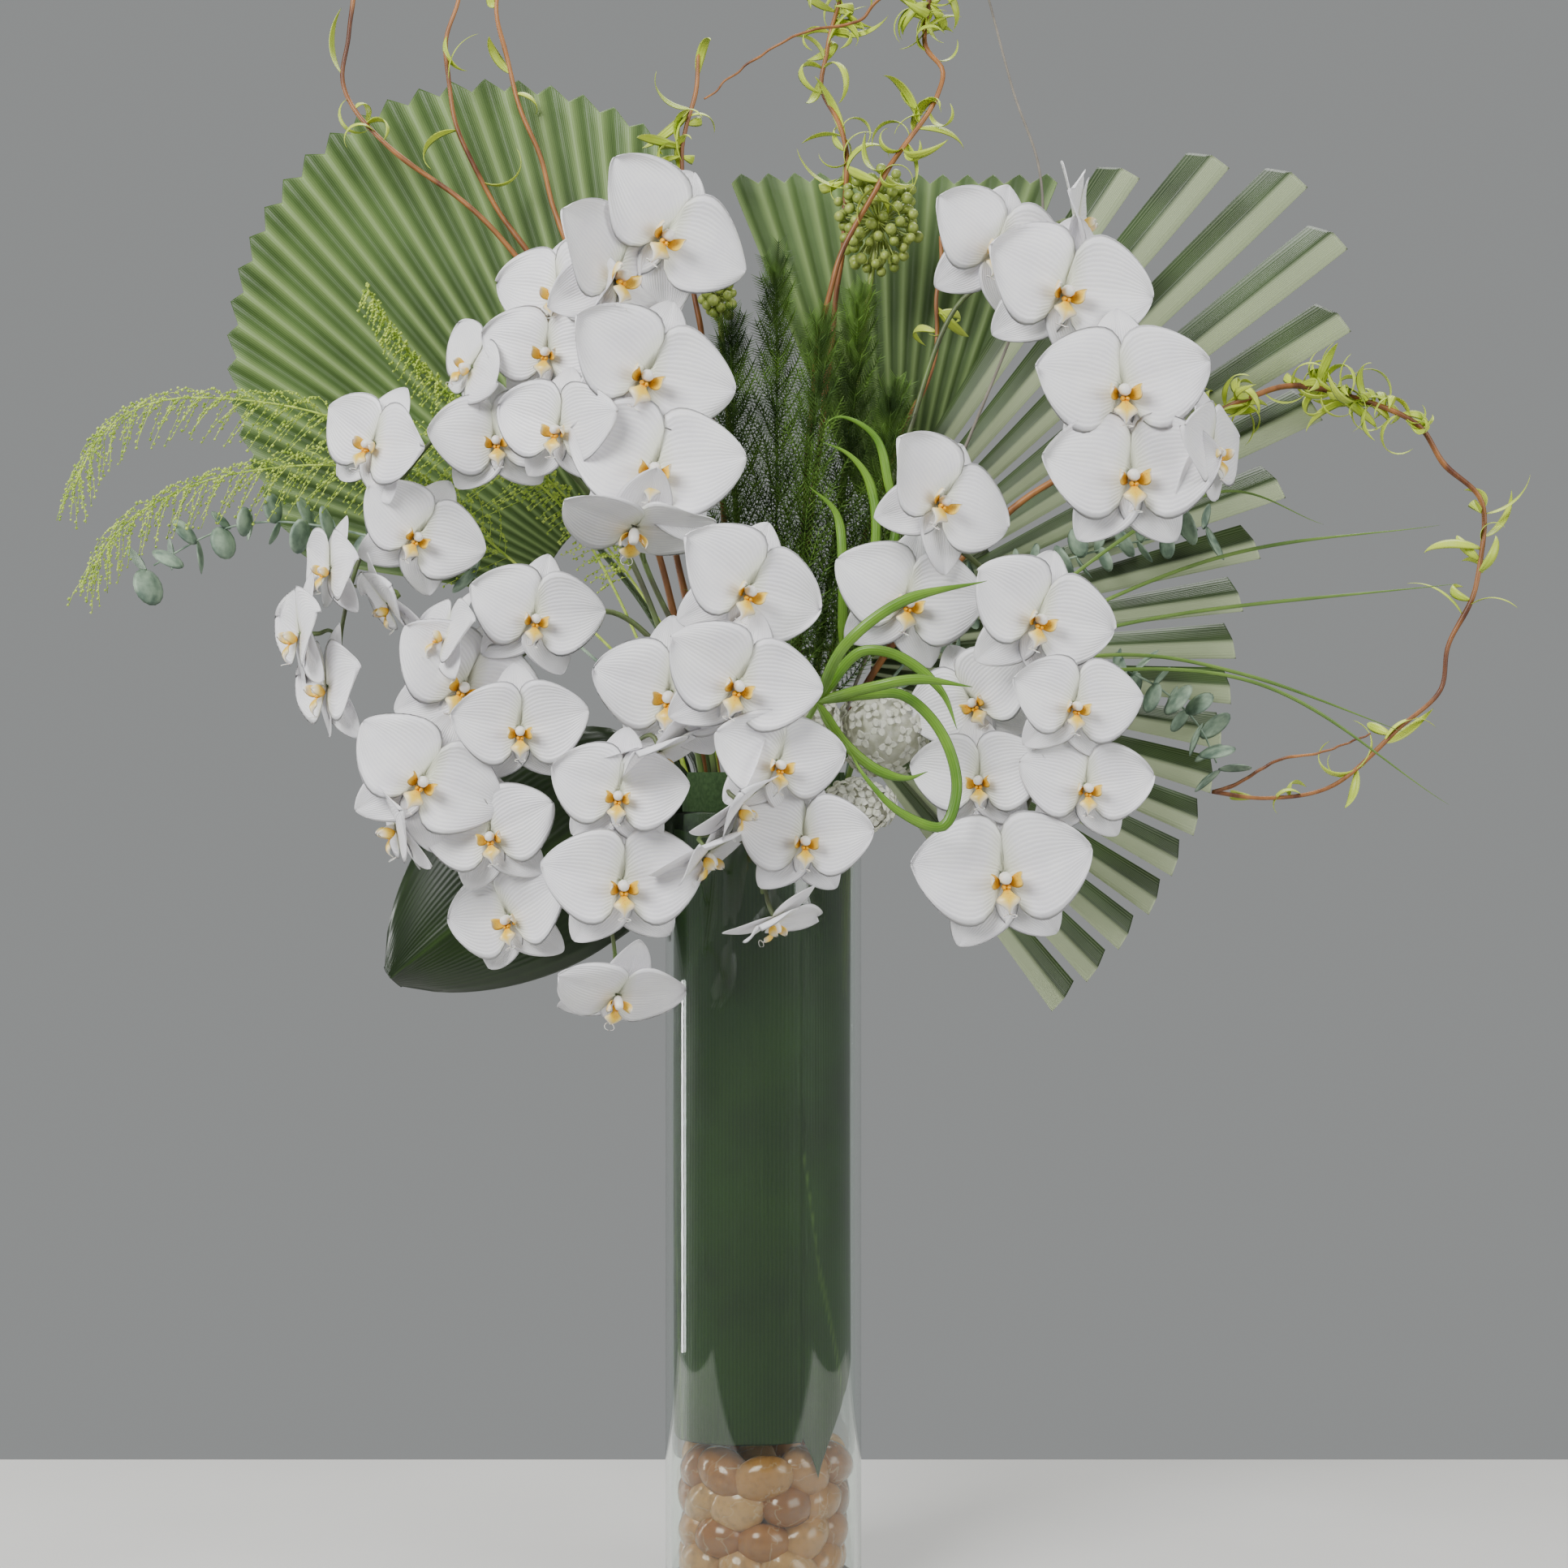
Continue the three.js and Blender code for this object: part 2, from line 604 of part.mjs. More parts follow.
// A head on its stem: the head's centre and half sizes, and the stem's route up to it.
const HEADS = {
  hydrangea_large: {
    finish: "cream",
    centre: [90, -70, 670],
    half: [35, 30, 35],
    stem: [[40, -40, STEM_FOOT], [50, -45, 640]],
  },
  hydrangea_left: {
    finish: "cream",
    centre: [40, -90, 670],
    half: [18, 25, 35],
    stem: [[20, -45, STEM_FOOT], [25, -50, 640]],
  },
  hydrangea_lower: {
    finish: "cream",
    centre: [70, -110, 615],
    half: [28, 24, 20],
    stem: [[30, -50, STEM_FOOT], [35, -55, 630]],
  },
  berry_cluster_right: {
    finish: "berry",
    centre: [90, 15, 1070],
    half: [35, 18, 42],
    stem: [[30, 10, STEM_FOOT], [40, 15, 700]],
  },
  berry_cluster_left: {
    finish: "berry",
    centre: [-35, 5, 1010],
    half: [14, 12, 18],
    stem: [[-5, 15, STEM_FOOT], [-10, 10, 700]],
  },
};

const HEAD_STEM_RADIUS = 2.2;

function head({ centre, half, stem }, room) {
  const grown = half.map((size) => size + room);
  return lump(centre, grown).add(tube([...stem, centre], HEAD_STEM_RADIUS + room, 5));
}

// A plume: a bare stem from the foam that carries a soft spindle of foliage on its last stretch.
const FERN_RADIUS = 12;
const LIME_RADIUS = 8;
const SPRIG_RADIUS = 6;
const PLUME_STEM_RADIUS = 1.6;

const FERNS = [
  [[-10, 0, STEM_FOOT], [-10, -5, 700], [-20, -5, 800], [-25, 0, 985]],
  [[0, 5, STEM_FOOT], [5, 0, 700], [10, -5, 830], [10, 5, 1035]],
  [[10, -5, STEM_FOOT], [20, -20, 700], [30, -30, 800], [45, -20, 985]],
  [[20, 10, STEM_FOOT], [35, 5, 700], [60, 10, 830], [75, -10, 1005]],
  [[35, 5, STEM_FOOT], [50, 0, 700], [85, -5, 800], [100, -10, 930]],
];

const LIME_SPRAYS = {
  lime_panicle_upper: {
    radius: LIME_RADIUS,
    route: [
      [-50, 10, STEM_FOOT], [-80, 10, 700], [-170, 5, 860], [-285, 0, 900], [-380, -10, 925],
      [-470, -15, 925],
      [-510, -15, 900], [-535, -15, 850],
    ],
  },
  lime_panicle_lower: {
    radius: LIME_RADIUS,
    route: [
      [-45, -5, STEM_FOOT], [-80, -10, 690], [-190, -15, 800], [-290, -20, 870], [-400, -25, 870],
      [-460, -25, 850],
      [-495, -25, 825], [-520, -25, 785],
    ],
  },
  lime_sprig: {
    radius: SPRIG_RADIUS,
    route: [
      [-30, 20, STEM_FOOT], [-50, 15, 700], [-150, 10, 850], [-240, 10, 930], [-285, 5, 980], [-310, 0, 1020],
    ],
  },
};

function plume(route, radius, room) {
  const foliage = route.slice(Math.floor(route.length / 2));
  const stem = tube(route, PLUME_STEM_RADIUS + room, route.length + 1, 4);
  return stem.add(tube(foliage, radius + room, foliage.length, 5));
}

const EUCALYPTUS = {
  eucalyptus_right: [
    [55, -5, STEM_FOOT], [85, -10, 690], [200, -5, 730], [290, 0, 715], [335, 0, 680], [355, 0, 640],
  ],
  eucalyptus_upper: [[55, 15, STEM_FOOT], [85, 15, 690], [170, 15, 780], [250, 10, 810], [345, 0, 830]],
  eucalyptus_left: [
    [-55, 0, STEM_FOOT], [-95, 0, 690], [-220, 0, 790], [-340, -10, 830], [-410, -10, 830], [-480, -10, 795],
  ],
};

const EUCALYPTUS_LEAF = 11; // half the length of a leaf

function eucalyptus(route, room) {
  const steps = route.length + 2;
  const parts = [tube(route, 1.3 + room, steps, 4)];
  for (let i = 0; i < 5; i++) {
    const at = stationOn(route, steps, 0.66 + 0.08 * i);
    const side = (i % 2) * 2 - 1;
    const reach = EUCALYPTUS_LEAF + room;
    const leaf = new THREE.CylinderGeometry(reach, reach, GRASS_THICKNESS + 2 * room, 4);
    parts.push(solidOf(leaf.translate(at.x, at.y, at.z + side * (EUCALYPTUS_LEAF - 1))));
  }
  return joined(parts);
}

// Each tuft's blades spring from the top of one gathered stalk.
const TUFTS = {
  lily_grass_upper: {
    width: 8,
    stalk: [[20, -10, STEM_FOOT], [40, -25, 660], [60, -40, 735]],
    blades: [
      [[100, -45, 820], [95, -45, 860], [85, -45, 895], [60, -45, 910], [45, -45, 905]],
      [[125, -40, 815], [130, -40, 855], [110, -40, 885], [100, -40, 890]],
      [[85, -55, 810], [80, -55, 860], [65, -55, 880], [45, -55, 890]],
      [[60, -65, 790], [55, -65, 835], [35, -65, 855]],
    ],
  },
  lily_grass_lower: {
    width: 8,
    stalk: [[10, -55, STEM_FOOT], [15, -70, 640], [40, -140, 690]],
    blades: [
      [[70, -165, 725], [90, -170, 725], [110, -170, 715], [130, -170, 695], [140, -170, 670]],
      [[80, -180, 700], [110, -185, 705], [150, -185, 700]],
      [
        [75, -160, 695], [100, -160, 695], [120, -160, 680], [135, -160, 655], [140, -160, 625],
        [130, -160, 600],
        [100, -160, 610], [75, -160, 635], [60, -155, 660],
      ],
      [[60, -145, 660], [85, -150, 640], [105, -150, 635], [120, -150, 640]],
      [[60, -190, 730], [100, -195, 760], [160, -190, 775]],
    ],
  },
  bear_grass: {
    width: 3,
    stalk: [[55, -20, STEM_FOOT], [75, -25, 660], [130, -30, 710]],
    blades: [
      [[350, -25, 855], [430, -25, 830]],
      [[350, -20, 805], [520, -20, 830]],
      [[285, -30, 755], [535, -25, 785]],
      [[280, -25, 730], [370, -20, 715], [495, -20, 670]],
      [[370, -35, 710], [525, -30, 615]],
    ],
  },
};

function tuft({ width, stalk, blades }, room) {
  const crown = stalk.at(-1);
  const parts = blades.map((reach) => {
    const route = [crown, ...reach];
    return blade(route, width + 2 * room, GRASS_THICKNESS + 2 * room, route.length + 3);
  });
  return joined([tube(stalk, width / 3 + 1.5 + room, 5), ...parts]);
}

// ---- Putting it together: the blooms first, then what is trimmed back round them ----

for (const [name, row] of Object.entries(SPRAYS)) {
  place(`orchid_spray_${name}`, "petal", (room) => orchidSpray(row, room));
}
for (const name of Object.keys(WILLOWS)) place(name, "bark", (room) => willow(name, room));
place("reed_blade", "greyBark", (room) => tube(REED, REED_RADIUS + room, 10, 4));
for (const [name, row] of Object.entries(HEADS)) place(name, row.finish, (room) => head(row, room));
for (const [name, row] of Object.entries(TUFTS)) place(name, "grass", (room) => tuft(row, room));
FERNS.forEach((route, i) => {
  place(`fern_plume_${i + 1}`, "fern", (room) => plume(route, FERN_RADIUS, room));
});
for (const [name, { route, radius }] of Object.entries(LIME_SPRAYS)) {
  place(name, "lime", (room) => plume(route, radius, room));
}
for (const [name, route] of Object.entries(EUCALYPTUS)) {
  place(name, "eucalyptus", (room) => eucalyptus(route, room));
}
place("palm_fan_left", "palm", (room) => palmFan(LEFT_FAN, room));
place("palm_fan_right", "palmLight", (room) => splitFan(RIGHT_FAN, room));
place("palm_fan_back", "palm", (room) => palmFan(BACK_FAN, room));
for (const [name, row] of Object.entries(COLLAR_LEAVES)) {
  place(name, "darkLeaf", (room) => broadLeaf(row, room));
}
place("floral_foam", "foam", () => {
  const foam = new THREE.CylinderGeometry(FOAM_RADIUS, FOAM_RADIUS, FOAM_TOP - FOAM_BOTTOM, 16);
  return solidOf(foam.rotateX(Math.PI / 2).translate(0, 0, (FOAM_TOP + FOAM_BOTTOM) / 2));
});

export default arrangement;
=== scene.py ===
"""A cut-flower arrangement of white moth orchids in a tall glass cylinder vase.

Metres, +Z up, front towards -Y. The origin is the centre of the vase's flat underside. A piece's points
are worked out on grids whose u runs across it and v along it, both from 0 to 1 unless a docstring says
otherwise.
"""

import bmesh
import bpy
import numpy as np
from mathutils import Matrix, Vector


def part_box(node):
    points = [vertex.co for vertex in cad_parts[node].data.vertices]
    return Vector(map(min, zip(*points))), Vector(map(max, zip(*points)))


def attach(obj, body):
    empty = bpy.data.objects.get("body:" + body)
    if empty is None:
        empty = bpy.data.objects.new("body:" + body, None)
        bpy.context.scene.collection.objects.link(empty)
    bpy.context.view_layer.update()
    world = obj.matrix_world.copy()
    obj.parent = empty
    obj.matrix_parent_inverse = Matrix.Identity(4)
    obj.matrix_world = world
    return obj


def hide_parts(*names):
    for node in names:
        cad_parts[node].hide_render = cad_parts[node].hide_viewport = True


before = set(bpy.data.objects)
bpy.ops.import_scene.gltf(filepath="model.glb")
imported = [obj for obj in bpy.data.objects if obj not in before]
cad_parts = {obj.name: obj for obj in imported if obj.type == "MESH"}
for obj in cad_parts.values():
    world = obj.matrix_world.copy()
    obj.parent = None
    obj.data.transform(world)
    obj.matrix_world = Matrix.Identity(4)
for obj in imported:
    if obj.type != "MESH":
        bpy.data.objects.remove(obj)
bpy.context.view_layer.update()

TAU = 2 * np.pi
UP = (0, 0, 1)
BACK = (0, 1, 0)
rng = np.random.default_rng(7)


# ---- Surfaces ----


def unit(vectors):
    return vectors / np.maximum(np.linalg.norm(vectors, axis=-1, keepdims=True), 1e-12)


def directions(path, up):
    """Each point's tangent, its side (tangent crossed with up) and its face (side crossed with tangent)."""
    tangent = unit(np.gradient(path, axis=-2))
    side = unit(np.cross(tangent, np.broadcast_to(up, tangent.shape)))
    return tangent, side, np.cross(side, tangent)


def curve(points, count):
    """A centripetal Catmull-Rom curve through the points: each stretch is a cubic whose end slopes come
    from the points beside it, with gaps that are the square root of the distance. Returns count points
    at equal distances along it."""
    p = np.asarray(points, float)
    p = np.vstack([2 * p[0] - p[1], p, 2 * p[-1] - p[-2]])
    gap = np.maximum(np.linalg.norm(np.diff(p, axis=0), axis=1), 1e-9)[:, None] ** 0.5
    before, here, after, beyond = p[:-3], p[1:-2], p[2:-1], p[3:]
    g0, g1, g2 = gap[:-2], gap[1:-1], gap[2:]
    leave = ((here - before) / g0 - (after - before) / (g0 + g1) + (after - here) / g1) * g1
    reach = ((after - here) / g1 - (beyond - here) / (g1 + g2) + (beyond - after) / g2) * g1
    t = np.linspace(0, 1, 25)[:-1, None, None]
    dense = (2 * t**3 - 3 * t**2 + 1) * here + (t**3 - 2 * t**2 + t) * leave
    dense = dense + (3 * t**2 - 2 * t**3) * after + (t**3 - t**2) * reach
    dense = np.vstack([dense.transpose(1, 0, 2).reshape(-1, 3), p[-2]])
    run = np.concatenate([[0], np.cumsum(np.linalg.norm(np.diff(dense, axis=0), axis=1))])
    stations = np.linspace(0, run[-1], count)
    return np.stack([np.interp(stations, run, dense[:, axis]) for axis in range(3)], axis=1)


def uv_grid(rows, columns, low=0.0, rim=1.0):
    """v and u over a grid, v from 0 to 1 down the rows and u from low to 1 across the columns. The cells
    along the border are only rim of their even size, which keeps a thin sheet's rim crisp."""
    v, u = np.linspace(0, 1, rows), np.linspace(low, 1, columns)
    for even in (v, u):
        even[1] += (rim - 1) * (even[1] - even[0])
        even[-2] += (1 - rim) * (even[-1] - even[-2])
    return np.meshgrid(v, u, indexing="ij")


def ball(rows=7, columns=9):
    """A sphere of radius 1: the sine of the polar angle times the cosine and sine of the turn."""
    v, u = uv_grid(rows, columns)
    polar, turn = np.pi * v, TAU * u
    return np.stack([np.sin(polar) * np.cos(turn), np.sin(polar) * np.sin(turn), np.cos(polar)], axis=-1)


class Mesh:
    """Surfaces gathered into one mesh. Each corner has its u and v, and each point a tone from 0 to 1."""

    def __init__(self):
        self.points, self.faces, self.uvs, self.tones, self.slots = [], [], [], [], []
        self.count = 0

    def grid(self, points, tone=0.0, slot=0):
        """Adds one or more surfaces from an array of any number by rows by columns by 3."""
        points = np.asarray(points, float)
        rows, columns = points.shape[-3:-1]
        size = rows * columns
        flat = points.reshape(-1, 3)
        corner = (np.arange(rows - 1)[:, None] * columns + np.arange(columns - 1)).ravel()
        quad = np.stack([corner, corner + 1, corner + columns + 1, corner + columns], axis=1)
        first = self.count + size * np.arange(len(flat) // size)
        v, u = uv_grid(rows, columns)
        place = np.stack([u.ravel(), v.ravel()], axis=1)[quad]
        faces = (quad + first[:, None, None]).reshape(-1, 4)
        self.points.append(flat)
        self.faces.append(faces)
        self.uvs.append(np.broadcast_to(place, (len(first), *place.shape)).reshape(-1, 2))
        self.tones.append(np.broadcast_to(tone, points.shape[:-1]).ravel())
        self.slots.append(np.full(len(faces), slot))
        self.count += len(flat)

    def sheet(self, points, thickness, tone=0.0, slot=0):
        """Adds thin closed bodies: each point moved half the thickness along the surface's normal, to one
        side and the other, except round the rim, where the two sides meet."""
        points = np.asarray(points, float)
        normal = unit(np.cross(np.gradient(points, axis=-2), np.gradient(points, axis=-3)))
        half = np.zeros(points.shape[-3:-1] + (1,))
        half[1:-1, 1:-1] = thickness / 2
        self.grid(points + half * normal, tone, slot)
        self.grid(points - half * normal, tone, slot)

    def tube(self, path, radius, sides=8, up=BACK, tone=0.0, slot=0):
        """Adds closed round tubes: each ring is the path's point plus the radius times the cosine of the
        turn along its side and the sine along its face."""
        path = np.asarray(path, float)
        _, side, face = directions(path, np.asarray(up, float))
        size = np.broadcast_to(radius, path.shape[:-1])[..., None, None]
        turn = np.linspace(0, TAU, sides + 1)[:, None]
        out = np.cos(turn) * side[..., None, :] + np.sin(turn) * face[..., None, :]
        rings = path[..., None, :] + size * out
        shape = rings[..., :1, :, :].shape
        foot = np.broadcast_to(path[..., :1, None, :], shape)
        top = np.broadcast_to(path[..., -1:, None, :], shape)
        self.grid(np.concatenate([foot, rings, top], axis=-3), tone, slot)

    def build(self, name, materials):
        """The object, with its seams and poles merged and its faces turned outwards."""
        data = bpy.data.meshes.new(name)
        points, faces = np.vstack(self.points), np.vstack(self.faces)
        data.vertices.add(len(points))
        data.vertices.foreach_set("co", points.astype(np.float32).ravel())
        data.loops.add(faces.size)
        data.loops.foreach_set("vertex_index", faces.astype(np.int32).ravel())
        data.polygons.add(len(faces))
        data.polygons.foreach_set("loop_start", np.arange(0, faces.size, 4, dtype=np.int32))
        data.polygons.foreach_set("material_index", np.concatenate(self.slots).astype(np.int32))
        data.polygons.foreach_set("use_smooth", np.ones(len(faces), bool))
        data.update(calc_edges=True)
        uvs = np.vstack(self.uvs).astype(np.float32).ravel()
        data.uv_layers.new(name="UVMap").data.foreach_set("uv", uvs)
        tone = data.attributes.new("tone", "FLOAT", "POINT")
        tone.data.foreach_set("value", np.concatenate(self.tones).astype(np.float32))
        for used in materials:
            data.materials.append(used)
        work = bmesh.new()
        work.from_mesh(data)
        bmesh.ops.remove_doubles(work, verts=work.verts, dist=1e-6)
        bmesh.ops.recalc_face_normals(work, faces=work.faces)
        work.to_mesh(data)
        work.free()
        made = bpy.data.objects.new(name, data)
        bpy.context.scene.collection.objects.link(made)
        return made


def finish(mesh, name, materials, slot, *nodes):
    """Builds the piece, which rides on the one body and stands for its nodes. slot is not used."""
    made = mesh.build(name, materials)
    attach(made, "root")
    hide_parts(*nodes)


def ribbon(path, width, side, columns=5, fold=0.0):
    """Blades along paths: the path's point plus u, from -1 to 1, times half the width along the side,
    with the edges raised by fold along the face."""
    u = np.linspace(-1, 1, columns)[:, None]
    path, side = np.asarray(path, float), np.broadcast_to(side, np.shape(path))
    face = np.cross(side, unit(np.gradient(path, axis=-2)))
    half = np.broadcast_to(width, path.shape[:-1])[..., None, None] / 2
    return path[..., None, :] + half * (u * side[..., None, :] + fold * np.abs(u) * face[..., None, :])


def curled(start, heading, bend, length, angle, rows=12):
    """Arcs that leave start along heading and turn towards bend through angle radians: the sine of the
    angle so far along the heading, and one minus its cosine along the bend, over the angle."""
    s = np.linspace(0, 1, rows)[:, None]
    angle = np.asarray(angle, float)[..., None, None]
    size = np.asarray(length, float)[..., None, None] / angle
    along, over = np.asarray(heading)[..., None, :], np.asarray(bend)[..., None, :]
    turned = np.sin(angle * s) * along + (1 - np.cos(angle * s)) * over
    return np.asarray(start)[..., None, :] + size * turned


def random_directions(count):
    """Directions spread evenly at random over a sphere."""
    return unit(rng.normal(size=(count, 3)))


# ---- Materials ----


def linear(code):
    """An sRGB hex colour as linear red, green and blue with alpha 1."""
    channel = np.array([int(code[i : i + 2], 16) for i in (0, 2, 4)]) / 255
    curved = np.where(channel <= 0.04045, channel / 12.92, ((channel + 0.055) / 1.055) ** 2.4)
    return (*curved.tolist(), 1.0)


def add(tree, kind, inputs=(), stops=(), **settings):
    """A new node of that kind with its settings. inputs gives its sockets, by name or number, a value, a
    hex colour, another node, which means its first socket in use, or a (node, socket name) pair. stops
    are a ramp's (place, hex colour) pairs."""
    node = tree.nodes.new("ShaderNode" + kind)
    for key, value in settings.items():
        setattr(node, key, value)
    for key, value in dict(inputs).items():
        if isinstance(value, bpy.types.Node):
            tree.links.new(next(o for o in value.outputs if o.enabled), node.inputs[key])
        elif isinstance(value, tuple) and isinstance(value[0], bpy.types.Node):
            tree.links.new(value[0].outputs[value[1]], node.inputs[key])
        else:
            node.inputs[key].default_value = linear(value) if isinstance(value, str) else value
    for i, (place, code) in enumerate(stops):
        element = node.color_ramp.elements[i] if i < 2 else node.color_ramp.elements.new(place)
        element.position = place
        element.color = linear(code)
    return node


def started(name):
    """A new material and its empty node tree."""
    made = bpy.data.materials.new(name)
    made.use_nodes = True
    made.node_tree.nodes.clear()
    return made, made.node_tree


def surfaced(made, inputs):
    """The material, finished with a principled shader that has those inputs."""
    tree = made.node_tree
    add(tree, "OutputMaterial", {"Surface": add(tree, "BsdfPrincipled", inputs)})
    return made


LINES_A_UNIT = 3.183  # bands that a wave texture of scale 1 draws across one unit
A, B = 6, 7  # a colour mix's two colour sockets


def clear_glass():
    """Soda-lime glass, drawn and fire polished: clear, with a faint green cast and sharp reflections."""
    made, _ = started("clear_soda_lime_glass")
    return surfaced(made, {"Base Color": "F4FAF6", "Roughness": 0.01, "IOR": 1.5, "Transmission Weight": 1.0})


def orchid_petal():
    """Moth orchid petal: waxy and softly translucent white, with fine veins that run out from its claw,
    a lavender cast between them and a breath of green at the very base."""
    made, tree = started("white_orchid_petal")
    uv = add(tree, "UVMap", uv_map="UVMap")
    place = add(tree, "TexCoord")
    veins = add(tree, "TexWave", {"Vector": uv, "Scale": 22 / LINES_A_UNIT, "Distortion": 1.4, "Detail": 1.5,
                                  "Detail Scale": 1.6}, bands_direction="X")
    vein_mask = add(tree, "ValToRGB", {"Fac": veins}, [(0.0, "8C8C8C"), (0.5, "000000")])
    blotch = add(tree, "TexNoise", {"Vector": (place, "Object"), "Scale": 45.0, "Detail": 3.0})
    white = add(tree, "ValToRGB", {"Fac": blotch}, [(0.3, "EFEDF1"), (0.7, "F9F8F7")])
    veined = add(tree, "Mix", {"Factor": vein_mask, A: white, B: "D8D3E2"}, data_type="RGBA")
    tone = add(tree, "Attribute", attribute_name="tone")
    base = add(tree, "ValToRGB", {"Fac": (tone, "Fac")}, [(0.02, "C0C0C0"), (0.24, "000000")])
    colour = add(tree, "Mix", {"Factor": base, A: veined, B: "D3DC94"}, data_type="RGBA")
    relief = add(tree, "Bump", {"Height": veins, "Distance": 0.0003, "Strength": 0.6})
    return surfaced(made, {
        "Base Color": colour, "Roughness": 0.45, "Normal": relief, "Subsurface Weight": 0.2,
        "Subsurface Radius": (1.0, 0.9, 0.85), "Subsurface Scale": 0.003,
    })


def orchid_lip():
    """Moth orchid lip: fleshy and glossier than the petals, chrome yellow in the throat with red-brown
    flecks, running out to white at its point."""
    made, tree = started("yellow_orchid_lip")
    place = add(tree, "TexCoord")
    tone = add(tree, "Attribute", attribute_name="tone")
    throat = add(tree, "ValToRGB", {"Fac": (tone, "Fac")},
                 [(0.0, "B88A18"), (0.3, "F0B010"), (0.55, "F6D050"), (0.82, "F6F2EA")])
    flecks = add(tree, "TexVoronoi", {"Vector": (place, "Object"), "Scale": 650.0})
    fleck_mask = add(tree, "ValToRGB", {"Fac": flecks}, [(0.16, "E0E0E0"), (0.34, "000000")])
    near = add(tree, "ValToRGB", {"Fac": (tone, "Fac")}, [(0.3, "FFFFFF"), (0.62, "000000")])
    both = add(tree, "Math", {0: fleck_mask, 1: near}, operation="MULTIPLY")
    colour = add(tree, "Mix", {"Factor": both, A: throat, B: "A8481C"}, data_type="RGBA")
    return surfaced(made, {"Base Color": colour, "Roughness": 0.32, "Subsurface Weight": 0.12,
                           "Subsurface Scale": 0.002})


def mottled(name, dark, light, roughness, size, relief=0.0003, stretch=(1, 1, 1)):
    """A plant surface whose colour wanders between two tones in patches of size metres, with relief in
    metres to match."""
    made, tree = started(name)
    place = add(tree, "TexCoord")
    scaled = add(tree, "Mapping", {"Vector": (place, "Object"), "Scale": stretch})
    patches = add(tree, "TexNoise", {"Vector": scaled, "Scale": 1 / size, "Detail": 4.0})
    fine = add(tree, "TexNoise", {"Vector": scaled, "Scale": 4 / size, "Detail": 2.0})
    colour = add(tree, "ValToRGB", {"Fac": patches}, [(0.34, dark), (0.66, light)])
    raised = add(tree, "Bump", {"Height": fine, "Distance": relief, "Strength": 0.6})
    return surfaced(made, {"Base Color": colour, "Roughness": roughness, "Normal": raised})


def veined(name, dark, mid, light, roughness, lines, patch=0.05, sheen=0.0):
    """A leaf with parallel veins: two greens in patches of patch metres, lined lengthwise with a third,
    and a lighter stretch where the tone is high, which is its midrib or ridge, and on the split palm fan
    the face of each fold that is painted lighter as if lit."""
    made, tree = started(name)
    uv = add(tree, "UVMap", uv_map="UVMap")
    place = add(tree, "TexCoord")
    tone = add(tree, "Attribute", attribute_name="tone")
    lined = add(tree, "TexWave", {
        "Vector": uv, "Scale": lines / LINES_A_UNIT, "Distortion": 0.6, "Detail": 2.0,
    }, bands_direction="X")
    patches = add(tree, "TexNoise", {"Vector": (place, "Object"), "Scale": 1 / patch, "Detail": 3.0})
    ground = add(tree, "ValToRGB", {"Fac": patches}, [(0.32, dark), (0.66, mid)])
    mask = add(tree, "ValToRGB", {"Fac": lined}, [(0.45, "000000"), (1.0, "5E5E5E")])
    body = add(tree, "Mix", {"Factor": mask, A: ground, B: light}, data_type="RGBA")
    # Lighter where the tone is high: the midrib or ridge, and on the split palm fan the painted lit face of
    # each fold.
    ridge = add(tree, "ValToRGB", {"Fac": (tone, "Fac")}, [(0.4, "000000"), (1.0, "E8E8E8")])
    colour = add(tree, "Mix", {"Factor": ridge, A: body, B: light}, data_type="RGBA")
    relief = add(tree, "Bump", {"Height": lined, "Distance": 0.0002, "Strength": 0.6})
    return surfaced(made, {
        "Base Color": colour, "Roughness": roughness, "Normal": relief, "Sheen Weight": sheen,
    })


def river_pebble():
    """Quartzite river pebbles, tumbled and polished: warm tans and browns, freckled, with pale veins."""
    made, tree = started("polished_river_pebble")
    place = add(tree, "TexCoord")
    tone = add(tree, "Attribute", attribute_name="tone")
    stone = add(tree, "ValToRGB", {"Fac": (tone, "Fac")},
                [(0.0, "75400F"), (0.4, "A4641F"), (0.75, "C48A42"), (1.0, "D8AC70")])
    speckle = add(tree, "TexNoise", {"Vector": (place, "Object"), "Scale": 170.0, "Detail": 6.0})
    dark = add(tree, "ValToRGB", {"Fac": speckle}, [(0.48, "000000"), (0.72, "9A9A9A")])
    flecked = add(tree, "Mix", {"Factor": dark, A: stone, B: "55300F"}, data_type="RGBA")
    cracks = add(tree, "TexNoise", {
        "Vector": (place, "Object"), "Scale": 38.0, "Detail": 5.0, "Distortion": 0.6,
    })
    seam = add(tree, "ValToRGB", {"Fac": cracks}, [(0.485, "000000"), (0.5, "A0A0A0"), (0.515, "000000")])
    colour = add(tree, "Mix", {"Factor": seam, A: flecked, B: "E3CDA4"}, data_type="RGBA")
    return surfaced(made, {"Base Color": colour, "Roughness": 0.24, "Coat Weight": 0.35})


# ---- Camera, floor and light ----

EYE = (0.016, -2.2, 0.631)
LENS = 65.1
FLOOR_HALF_WIDTH = 0.95
FLOOR_FRONT = -0.55
FLOOR_BACK = 0.45
FLOOR_DROP = 0.0004  # below the glass, so that the two faces never share a plane


def soft_box(name, place, aim, width, height, power):
    """An area light at place, turned to face aim."""
    data = bpy.data.lights.new(name, "AREA")
    data.shape = "RECTANGLE"
    data.size = width
    data.size_y = height
    data.energy = power
    light = bpy.data.objects.new(name, data)
    away = np.subtract(place, aim)
    light.location = place
    light.rotation_euler = (np.arctan2(np.hypot(away[0], away[1]), away[2]), 0, np.arctan2(away[0], -away[1]))
    bpy.context.scene.collection.objects.link(light)


